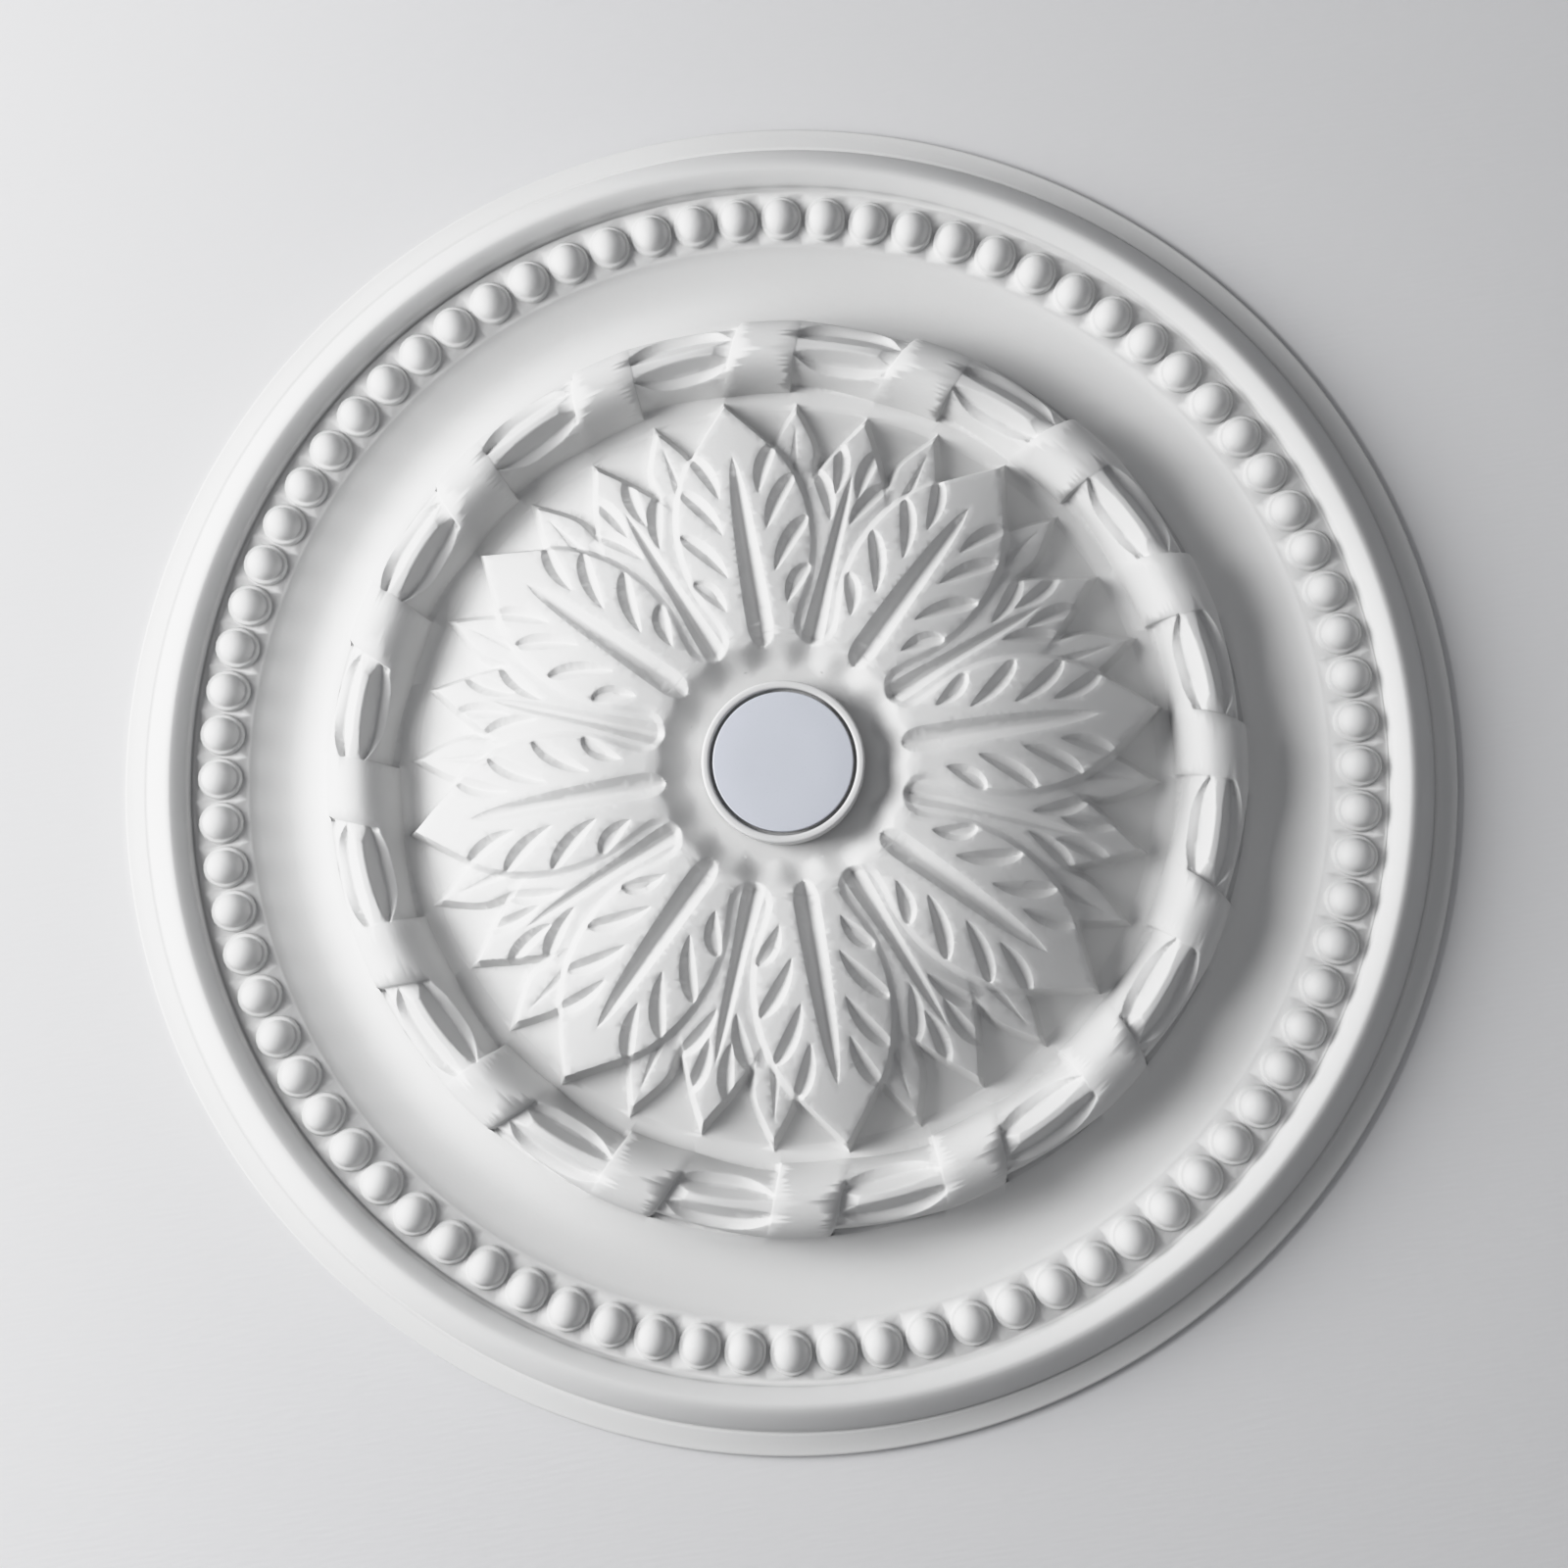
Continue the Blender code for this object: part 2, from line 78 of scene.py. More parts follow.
# Steps round the casting: the plain mouldings, and the fine steps of the carved parts
BEAD_COUNT = 80
STEPS_PER_BEAD = 4
GARLAND_CELLS = 16
LEAF_SECTORS = 8
FINE_STEP = 0.1875
JOIN_STEP = 0.5625
PLAIN_STEP = 1.125

# Points closer than this are joined, in metres; widths never fall below this, in millimetres
WELD_GAP = 0.000004
SMALLEST = 0.001

# Camera and picture directions, worked out from the photograph's view of the circles
PICTURE_TURN = radians(9.5)
CAMERA_DISTANCE = 1.05
CAMERA_TILT = radians(5.97)
CAMERA_SIDE = radians(-75.28)
CAMERA_AIM = (-0.0012, -0.0039)
CAMERA_LENS = 53.47
CAMERA_SENSOR = 36.0

# Ceiling round the rose and floor far below: sizes in millimetres
CEILING_RADIUS = 9000.0
CEILING_HOLE = 299.4
CEILING_STEPS = 320
CEILING_GAP = 0.1
FLOOR_HALF = 12000.0
FLOOR_HEIGHT = -2400.0
FLOOR_GLOW = 0.1

# Lights: place, width and height, power; the window's place is in the picture's axes
WINDOW_LIGHT = ((-2.1, 0.24, 1.2), (1.3, 1.6), 75.0)
BACK_LIGHT = ((0.9, -1.2, 2.2), (1.6, 1.6), 26.0)
WINDOW_TARGET = (0.0, 0.0, -0.02)
ROOM_COLOUR = (0.93, 0.95, 1.0, 1.0)
ROOM_STRENGTH = 0.16

# Spread of the noises that tint a finish and roughen it
CLOUD_RANGE = (0.35, 0.65)
GRAIN_RANGE = (0.3, 0.7)

# Light: how often it is passed on between matt surfaces, and by sheens
DIFFUSE_BOUNCES = 1
GLOSSY_BOUNCES = 1

# Tone: the light that shows as white, and points of light against what is shown
TONE_WHITE = 4.0
TONE_POINTS = ((0.35, 0.35), (0.65, 0.645), (0.85, 0.8), (1.05, 0.875), (1.4, 0.93),
               (2.2, 0.965), (3.2, 0.988))

# Mouldings, as radius and height; the lip as distance in from the edge and height
EDGE_MARGIN = 0.07
CASTING_RADIUS = (cad_high.x - cad_low.x) / 2.0 / MM - EDGE_MARGIN
LIP_OUTLINE = ((0.5, 0.0), (0.0, 0.5), (0.0, 2.4), (0.35, 3.1), (1.2, 3.3), (2.0, 3.4), (5.0, 4.3))
BAND_SHOULDER = (290.6, 5.6)
BAND_INNER = (289.6, 5.9)
STEP_FOOT = (288.5, 5.2)
RIM_OUTER = (287.9, 8.0)
RIM_CREST = (274.9, 22.0)
RIM_EDGE = (267.9, 18.2)
RIM_QUIRK = (266.7, 12.6)
RIM_STEPS = 6
RIM_CLIMB_POWER = 1.55
RIM_FALL_POWER = 1.5
RIM_SHOULDER = (RIM_EDGE[0] - 0.5, RIM_EDGE[1] - 0.9)
BED_OUTER = (265.4, 14.0)
BED_INNER = (241.2, 13.2)
BED_DIP = 0.6
COVE_OUTER = (240.2, 12.2)
COVE_LOW = (221.0, 7.0)
COVE_STEPS = 9
COVE_OUTER_POWER = 1.6
COVE_INNER_POWER = 2.2
BACK_RINGS = (0.0, 90.0, 180.0, 250.0, 288.0)

# Beads: a small dome on a rounded collar, as share of the half sizes and height
BEAD_CIRCLE = 253.6
BEAD_HALF_LENGTH = 10.2
BEAD_HALF_WIDTH = 9.5
BEAD_SECTION = ((1.0, 12.6), (0.99, 13.8), (0.94, 14.9), (0.87, 15.3), (0.81, 15.3),
                (0.77, 16.2), (0.71, 17.7), (0.61, 19.1), (0.46, 20.3), (0.24, 21.1))
BEAD_TOP = 21.4
BEAD_SIDE_STEPS = 6

# Garland
GARLAND_INNER = (171.7, 16.2)
GARLAND_OUTER = (204.3, 13.0)
GARLAND_CREST = 34.5
GARLAND_ROWS = 84
CELL_CENTRE = 4.5
CELL_END_COLUMNS = (7.5, -6.375)
MM_PER_DEGREE = 3.25
END_WALL = 0.9
BAND_STEP = 0.4
INNER_TUCK = 0.15
OUTER_TUCK = 0.12
INNER_SIDE_POWERS = (2.2, 0.8)
OUTER_SIDE_POWERS = (2.0, 0.38)
CELL_CCW_END = (8.0, -1.5)
CELL_CW_END = (-5.0, -3.6)
STRAIGHT_EDGE = 0.03
BAND_STEP_EDGE = 0.1
RECESS_BETWEEN = (179.5, 200.0)
RECESS_EDGE = 2.5
RECESS_DEPTH = 3.4
RECESS_REACH = 8.5

# Powers that shape a gouge: its blunt ends, its plan, its section and the rise of its floor
GOUGE_BLUNTNESS = 2.6
GOUGE_PLAN = 0.75
GOUGE_SECTION = 0.8
GOUGE_FLOOR = 0.4

# Gouges: middle and half angle, circle at the ends and at the middle, half width and depth
OUTER_GOUGE = (0.0, 7.6, 193.4, 196.0, 5.0, 6.2)
INNER_GOUGE = (-0.1, 7.4, 185.2, 182.6, 5.0, 5.6)

# Cover in the middle: how far its finer pieces stay inside the solids, its wall and roundings;
# a rounding takes up at most the last share of each side that meets in its corner
COVER_STEPS = 128
COVER_MARGIN = 0.05
RING_TOP_MARGIN = 0.02
RING_WALL = 3.4
SEAT_GAP = 0.3
RING_ROUNDING = 1.3
RING_ROUND_STEPS = 6
DISC_ROUNDING = 0.6
DISC_ROUND_STEPS = 5
ROUNDING_REACH = 0.45

# Dome under the leaves, and the dish
DOME_FOOT = (176.0, 14.0)
DOME_CREST = (66.0, 50.0)
DISH_HEIGHT = 46.3
LEAF_ROW_STEP = 0.62
LEAF_INNER_RADIUS = 24.0


class RoseSettings(bpy.types.PropertyGroup):
    """Colours of the rose, and the triangles kept in its carved parts, that can be changed."""

    plaster_colour: bpy.props.FloatVectorProperty(
        name="Plaster colour", description="Colour of the casting",
        subtype="COLOR", size=3, min=0.0, max=1.0, default=(0.86, 0.86, 0.855))
    ring_colour: bpy.props.FloatVectorProperty(
        name="Ring colour", description="Colour of the cover's ring",
        subtype="COLOR", size=3, min=0.0, max=1.0, default=(0.88, 0.88, 0.88))
    disc_colour: bpy.props.FloatVectorProperty(
        name="Disc colour", description="Colour of the cover's disc",
        subtype="COLOR", size=3, min=0.0, max=1.0, default=(0.76, 0.79, 0.87))
    leaf_triangles: bpy.props.IntProperty(
        name="Leaf triangles", description="Triangles kept in each eighth of the leaves",
        default=11400, min=1000, max=40000)
    garland_triangles: bpy.props.IntProperty(
        name="Garland triangles", description="Triangles kept in each cell of the garland",
        default=2500, min=300, max=12000)


def ramp(value):
    """Rise from 0 to 1 with rounded ends as the value goes from 0 to 1."""
    share = np.clip(value, 0.0, 1.0)
    return share * share * (3.0 - 2.0 * share)


def hump(share):
    """Rise from 0 to 1 half way along and fall back to 0 at the end."""
    return 4.0 * share * (1.0 - share)


def smooth_line(points, steps=12):
    """Run a smooth curve through points given as position and value; return both as arrays."""
    path = [points[0]] + list(points) + [points[-1]]
    places, values = [], []
    for before, start, end, after in zip(path, path[1:], path[2:], path[3:]):
        for step in range(steps):
            share = step / steps
            row = []
            for axis in (0, 1):
                slope_in = (end[axis] - before[axis]) / 2.0
                slope_out = (after[axis] - start[axis]) / 2.0
                cubic = 2.0 * start[axis] - 2.0 * end[axis] + slope_in + slope_out
                square = 3.0 * end[axis] - 3.0 * start[axis] - 2.0 * slope_in - slope_out
                row.append(((cubic * share + square) * share + slope_in) * share + start[axis])
            places.append(row[0])
            values.append(row[1])
    places.append(points[-1][0])
    values.append(points[-1][1])
    return np.array(places), np.array(values)


FRONT_OUTLINE = smooth_line(((48.0, 12.0), (59.0, 18.0), (70.0, 23.2), (82.0, 27.7), (95.0, 30.6),
                             (106.0, 31.0), (117.0, 30.0), (129.0, 27.0), (140.0, 21.8),
                             (152.0, 13.2), (161.0, 6.5), (169.5, 0.0)))
BACK_OUTLINE = smooth_line(((60.0, 12.0), (90.0, 19.0), (108.0, 21.5), (120.0, 20.5),
                            (131.0, 17.1), (146.0, 9.9), (155.0, 5.0), (164.3, 0.0)))
SMALL_OUTLINE = smooth_line(((126.0, 11.0), (138.0, 11.6), (146.0, 10.4), (156.0, 6.0),
                             (167.4, 0.0)))
MIDRIB_LINE = smooth_line(((51.0, 0.0), (52.6, 3.2), (56.5, 5.2), (64.0, 5.7), (86.0, 5.3),
                           (100.0, 4.8), (114.0, 4.1), (124.0, 3.2), (133.0, 1.9), (139.0, 0.0)))
BACK_RIB_LINE = smooth_line(((50.0, 4.6), (64.0, 4.6), (80.0, 3.6), (95.0, 3.1), (112.0, 2.6),
                             (124.0, 1.5), (132.0, 0.0)))
SMALL_RIB_LINE = smooth_line(((124.0, 3.0), (134.0, 2.2), (146.0, 1.0), (154.5, 0.0)))

# Slots cut between the ribs, each from its outer to its inner end, as along and across the leaf
FRONT_SLOTS = (((143.0, 18.6), (119.4, 8.6)), ((126.6, 25.0), (102.4, 9.6)),
               ((105.6, 27.8), (82.8, 10.2)), ((83.6, 25.2), (68.4, 13.2)))
BACK_SLOTS = (((147.0, 8.6), (121.0, 4.9)), ((131.6, 16.0), (108.6, 4.3)))
SLOT_HALF_WIDTH = 5.3
SLOT_BOW = 1.6
SLOT_DEPTH = 4.8
SLOT_FULLNESS = 1.55
SLOT_BLUNT_POWER = 0.45
SLOT_POINT_POWER = 0.72
SLOT_FLOOR = 1.08
WALL_WIDTH = 3.0
FRONT_RISE = 5.6
BACK_RISE = 3.4
SMALL_RISE = 1.6
FLOOR_DROP = 5.0
FLOOR_LEVEL = 15.2
RISE_START = 34.0
RISE_RUN = 26.0
OUTWARD_RISE = 2.6
LEDGE_START = 166.5
FRONT_CURVE = 0.0022
BACK_CURVE = 0.004
SMALL_SLOPE = 0.06
HALF_EIGHTH = 180.0 / LEAF_SECTORS
SMALL_AXIS = HALF_EIGHTH / 2.0
MIDRIB_FADE = 3.0

# Round-ended pocket between two front leaves, and where the leaf's own outline takes over
POCKET_END = 62.0
POCKET_HALF_WIDTH = 6.6
POCKET_SPREAD = 0.02
POCKET_HANDOVER = 64.0
POCKET_HANDOVER_RUN = 14.0

# Edge of the dish, with two shallow lobes to each leaf
DISH_EDGE = 41.0
DISH_EDGE_RUN = 14.0
DISH_LOBE = 1.4
DISH_LOBES = 16.0


def dome_height(radius):
    """Height of the dome that carries the leaves, down to the dish inside its crest."""
    share = np.clip((DOME_FOOT[0] - radius) / (DOME_FOOT[0] - DOME_CREST[0]), 0.0, 1.0)
    return DOME_FOOT[1] + (DOME_CREST[1] - DOME_FOOT[1]) * np.sin(share * pi / 2.0)


def inside_distance(outline, along, across):
    """Distance in from a leaf's edge, negative outside it."""
    places, widths = outline
    half = np.interp(along, places, widths, left=widths[0], right=0.0)
    slope = np.gradient(widths, places)
    lean = np.interp(along, places, slope)
    distance = (half - np.abs(across)) / np.sqrt(1.0 + lean * lean)
    beyond = along > places[-1]
    return np.where(beyond, -np.hypot(along - places[-1], across), distance)


def groove_depth(line, along, across):
    """Depth of a V groove with square sides, whose half width follows a line along the leaf."""
    places, widths = line
    half = np.interp(along, places, widths, left=0.0, right=0.0)
    return np.maximum(half - np.abs(across), 0.0)


def slot_depth(ends, along, across):
    """Depth of one almond-shaped slot, blunt at its outer end and pointed at its inner end."""
    (outer_u, outer_v), (inner_u, inner_v) = ends
    run_u, run_v = inner_u - outer_u, inner_v - outer_v
    length = sqrt(run_u * run_u + run_v * run_v)
    off_u, off_v = along - outer_u, np.abs(across) - outer_v
    share = (off_u * run_u + off_v * run_v) / (length * length)
    side = (off_v * run_u - off_u * run_v) / length
    kept = np.clip(share, 0.0, 1.0)
    side = side - SLOT_BOW * hump(kept)
    taper = kept ** SLOT_BLUNT_POWER * (1.0 - kept) ** SLOT_POINT_POWER
    half = SLOT_HALF_WIDTH * SLOT_FULLNESS * taper
    half = np.where((share < 0.0) | (share > 1.0), 0.0, half)
    inside = np.clip(1.0 - np.abs(side) / np.maximum(half, SMALLEST), 0.0, 1.0)
    return np.minimum(inside * SLOT_FLOOR, 1.0) * SLOT_DEPTH * half / SLOT_HALF_WIDTH


def leaf_axes(radius, angle, axis):
    """Turn polar places into along and across a leaf whose axis lies at an angle in degrees."""
    turned = np.radians(angle - axis)
    return radius * np.cos(turned), radius * np.sin(turned)


def laid_over(height, top, distance, wall=WALL_WIDTH):
    """Lay a leaf's top over what is under it, with a sloping wall inside its edge."""
    return height + np.maximum(top - height, 0.0) * np.clip(distance / wall, 0.0, 1.0)


def pocket_distance(along, across):
    """Distance outside the round-ended pocket between two front leaves."""
    beyond = along - POCKET_END
    side = np.abs(across) - POCKET_HALF_WIDTH - POCKET_SPREAD * np.maximum(beyond, 0.0)
    around = np.hypot(np.minimum(beyond, 0.0), across) - POCKET_HALF_WIDTH
    return np.where(beyond < 0.0, around, side)


def with_small_leaves(height, dome, radius, angle):
    """Lay the two small leaves of an eighth over what is under them."""
    for axis in (-SMALL_AXIS, SMALL_AXIS):
        along, across = leaf_axes(radius, angle, axis)
        top = dome + SMALL_RISE - SMALL_SLOPE * np.abs(across)
        top = top - groove_depth(SMALL_RIB_LINE, along, across)
        height = laid_over(height, top, inside_distance(SMALL_OUTLINE, along, across))
    return height


def with_back_leaves(height, dome, rise, radius, angle):
    """Lay the two half leaves at the sides of an eighth over what is under them."""
    for axis in (-HALF_EIGHTH, HALF_EIGHTH):
        along, across = leaf_axes(radius, angle, axis)
        top = dome + BACK_RISE * rise - BACK_CURVE * across * across
        for ends in BACK_SLOTS:
            top = top - slot_depth(ends, along, across)
        top = top - groove_depth(BACK_RIB_LINE, along, across)
        height = laid_over(height, top, inside_distance(BACK_OUTLINE, along, across))
    return height


def with_front_leaf(height, dome, rise, radius, angle):
    """Lay the front leaf of an eighth over what is under it, and cut its midrib."""
    along, across = leaf_axes(radius, angle, 0.0)
    outward = np.clip((radius - DOME_CREST[0]) / (GARLAND_INNER[0] - DOME_CREST[0]), 0.0, 1.0)
    top = dome + (FRONT_RISE + OUTWARD_RISE * outward) * rise - FRONT_CURVE * across * across
    for ends in FRONT_SLOTS:
        top = top - slot_depth(ends, along, across)
    edge = inside_distance(FRONT_OUTLINE, along, across)
    pocket = pocket_distance(*leaf_axes(radius, np.abs(angle), HALF_EIGHTH))
    edge = pocket + (edge - pocket) * ramp((radius - POCKET_HANDOVER) / POCKET_HANDOVER_RUN)
    height = laid_over(height, top, edge)
    return height - groove_depth(MIDRIB_LINE, along, across) * ramp(edge / MIDRIB_FADE)


def leaf_relief(radius, angle):
    """Height of the leaves, the recess beyond their tips and the dish, for one eighth."""
    dome = dome_height(radius)
    rise = ramp((radius - RISE_START) / RISE_RUN)
    height = np.maximum(dome - FLOOR_DROP, FLOOR_LEVEL)
    ledge = np.clip((radius - LEDGE_START) / (GARLAND_INNER[0] - LEDGE_START), 0.0, 1.0)
    height = height + (GARLAND_INNER[1] - height) * ledge
    height = with_small_leaves(height, dome, radius, angle)
    height = with_back_leaves(height, dome, rise, radius, angle)
    height = with_front_leaf(height, dome, rise, radius, angle)
    lobe = np.cos(np.radians(np.abs(angle) - SMALL_AXIS) * DISH_LOBES)
    into_dish = ramp((radius - DISH_EDGE + DISH_LOBE * lobe) / DISH_EDGE_RUN)
    return DISH_HEIGHT + (height - DISH_HEIGHT) * into_dish


def across_ring(radius):
    """Share of the way across the garland, from 0 at its inner foot to 1 at its outer foot."""
    return (radius - GARLAND_INNER[0]) / (GARLAND_OUTER[0] - GARLAND_INNER[0])


def garland_profile(share):
    """Height of the plain ring under the garland's carving, at a share of the way across."""
    kept = np.clip(share, 0.0, 1.0)
    foot = GARLAND_INNER[1] + (GARLAND_OUTER[1] - GARLAND_INNER[1]) * kept
    inner_power, inner_root = INNER_SIDE_POWERS
    outer_power, outer_root = OUTER_SIDE_POWERS
    inner_side = (1.0 - np.clip(1.0 - 2.0 * kept, 0.0, 1.0) ** inner_power) ** inner_root
    outer_side = (1.0 - np.clip(2.0 * kept - 1.0, 0.0, 1.0) ** outer_power) ** outer_root
    return foot + (GARLAND_CREST - foot) * np.where(kept < 0.5, inner_side, outer_side)


def gouge_depth(radius, angle, gouge):
    """Depth of one long gouge that runs along the garland, with blunt rounded ends."""
    middle, half_angle, end_circle, mid_circle, half_width, depth = gouge
    share = np.clip((angle - middle) / half_angle, -1.0, 1.0)
    body = 1.0 - np.abs(share) ** GOUGE_BLUNTNESS
    centre = end_circle + (mid_circle - end_circle) * body
    half = half_width * body ** GOUGE_PLAN + SMALLEST
    inside = np.clip(1.0 - np.abs(radius - centre) / half, 0.0, 1.0)
    return inside ** GOUGE_SECTION * depth * body ** GOUGE_FLOOR


def cell_ends(share):
    """Give the angles of a cell's two slanting ends, from the ring's inner to its outer foot."""
    return tuple(start + lean * share for start, lean in (CELL_CCW_END, CELL_CW_END))


def slanted(radius, angle):
    """Move the fine columns of a cell so that two of them follow its slanting ends."""
    share = across_ring(radius)
    half = 180.0 / GARLAND_CELLS
    ccw_column, cw_column = CELL_END_COLUMNS
    hold = ramp(share / STRAIGHT_EDGE) * ramp((1.0 - share) / STRAIGHT_EDGE)
    ccw_end, cw_end = cell_ends(share)
    inner_scale = (ccw_end - cw_end) / (ccw_column - cw_column)
    moved = ccw_end + (angle - ccw_column) * inner_scale
    above = ccw_end + (angle - ccw_column) * (half - ccw_end) / (half - ccw_column)
    below = cw_end + (angle - cw_column) * (half + cw_end) / (half + cw_column)
    moved = np.where(angle > ccw_column, above, np.where(angle < cw_column, below, moved))
    return angle + (moved - angle) * hold


def straight(radius, angle):
    """Leave the fine columns of a wedge straight."""
    return angle


def garland_relief(radius, angle):
    """Height of one cell of the garland: two gouges and a reed between two smooth bands."""
    share = across_ring(radius)
    ccw_end, cw_end = cell_ends(share)
    from_ccw = (ccw_end - angle) * MM_PER_DEGREE
    from_cw = (angle - cw_end) * MM_PER_DEGREE
    within = np.clip(from_ccw / END_WALL, 0.0, 1.0) * np.clip(from_cw / END_WALL, 0.0, 1.0)
    along = np.clip((angle - cw_end) / (ccw_end - cw_end), 0.0, 1.0)
    tucked = INNER_TUCK * along * np.clip(1.0 - share / 0.5, 0.0, 1.0)
    tucked = tucked - OUTER_TUCK * (1.0 - along) * np.clip(share / 0.5 - 1.0, 0.0, 1.0)
    height = garland_profile(share)
    height = height + (garland_profile(share - tucked) - height) * within
    outer_dip = gouge_depth(radius, angle, OUTER_GOUGE)
    inner_dip = gouge_depth(radius, angle, INNER_GOUGE)
    band = ramp((radius - RECESS_BETWEEN[0]) / RECESS_EDGE)
    band = band * ramp((RECESS_BETWEEN[1] - radius) / RECESS_EDGE)
    recess = RECESS_DEPTH * band * np.clip(1.0 - from_cw / RECESS_REACH, 0.0, 1.0)
    from_edge = np.minimum(share, 1.0 - share)
    step = BAND_STEP * np.clip(from_edge / BAND_STEP_EDGE, 0.0, 1.0)
    return height - (np.maximum(np.maximum(outer_dip, inner_dip), recess) + step) * within


def mesh_from(name, points, faces):
    """Make a mesh of points and faces."""
    mesh = bpy.data.meshes.new(name)
    mesh.from_pydata([tuple(point) for point in points], [], faces)
    mesh.update()
    return mesh


def new_object(name, mesh):
    """Put a mesh in the scene as an object."""
    obj = bpy.data.objects.new(name, mesh)
    bpy.context.scene.collection.objects.link(obj)
    return obj


def evaluated_mesh(obj):
    """Make a plain mesh of an object with its modifiers applied."""
    graph = bpy.context.evaluated_depsgraph_get()
    return bpy.data.meshes.new_from_object(obj.evaluated_get(graph))


def placed(radius, angle, height):
    """Turn polar places in millimetres and degrees into points in metres."""
    turned = np.radians(angle)
    return np.stack([radius * np.cos(turned), radius * np.sin(turned), height], -1) * MM


def grid_faces(rows, columns, start=0):
    """Give the four-sided faces of a grid of points laid out row by row."""
    faces = []
    for row in range(rows - 1):
        for column in range(columns - 1):
            corner = start + row * columns + column
            faces.append((corner, corner + 1, corner + columns + 1, corner + columns))
    return faces


def ring_faces(rows, count):
    """Give the four-sided faces between closed rings of points laid out one after another."""
    faces = []
    for row in range(rows - 1):
        for step in range(count):
            following = (step + 1) % count
            faces.append((row * count + step, row * count + following,
                          (row + 1) * count + following, (row + 1) * count + step))
    return faces


def circle(radius, steps, height):
    """Give points round a circle, in metres, from a radius and height in millimetres."""
    turns = [2.0 * pi * step / steps for step in range(steps)]
    return [(radius * cos(turn) * MM, radius * sin(turn) * MM, height * MM) for turn in turns]


def fan_faces(fine_start, coarse_start, coarse_steps, per_step):
    """Join a coarse row to a fine row that has several steps to each coarse one."""
    faces = []
    for step in range(coarse_steps):
        fine = [fine_start + step * per_step + index for index in range(per_step + 1)]
        faces.append(tuple(fine + [coarse_start + step + 1, coarse_start + step]))
    return faces


def carved_wedge(relief, bend, radii, low, high, offset, ends):
    """Make a fine polar grid of a relief; ends give a coarser first or last row, or neither."""
    columns = round((high - low) / FINE_STEP) + 1
    angles = np.linspace(low, high, columns)
    grid_radius, grid_angle = np.meshgrid(radii, angles, indexing="ij")
    grid_angle = bend(grid_radius, grid_angle)
    heights = relief(grid_radius, grid_angle)
    points = list(placed(grid_radius, grid_angle + offset, heights).reshape(-1, 3))
    faces = grid_faces(len(radii), columns)
    for row, radius, height, step in ends:
        per_step = round(step / FINE_STEP)
        coarse_steps = (columns - 1) // per_step
        start = len(points)
        coarse = np.linspace(low, high, coarse_steps + 1) + offset
        points += list(placed(np.full_like(coarse, radius), coarse, np.full_like(coarse, height)))
        fine_start = row * columns
        found = fan_faces(fine_start, start, coarse_steps, per_step)
        faces += found if row else [tuple(reversed(face)) for face in found]
    return points, faces


def boundary_of(mesh):
    """Give the vertices on the open edges of a mesh."""
    counts = np.zeros(len(mesh.edges), int)
    edges = np.zeros(len(mesh.loops), int)
    mesh.loops.foreach_get("edge_index", edges)
    np.add.at(counts, edges, 1)
    return sorted({vertex for edge in mesh.edges if counts[edge.index] == 1
                   for vertex in edge.vertices})


def thinned(obj, triangles):
    """Reduce a fine relief to a number of triangles; its open edges are left as they are."""
    total = sum(len(face.vertices) - 2 for face in obj.data.polygons)
    group = obj.vertex_groups.new(name="free")
    group.add(range(len(obj.data.vertices)), 1.0, "REPLACE")
    group.add(boundary_of(obj.data), 0.0, "REPLACE")
    modifier = obj.modifiers.new("thin", "DECIMATE")
    modifier.ratio = min(1.0, triangles / total)
    modifier.vertex_group = group.name
    modifier.vertex_group_factor = 1.0
    mesh = evaluated_mesh(obj)
    obj.modifiers.remove(modifier)
    obj.vertex_groups.clear()
    obj.data = mesh
    return obj


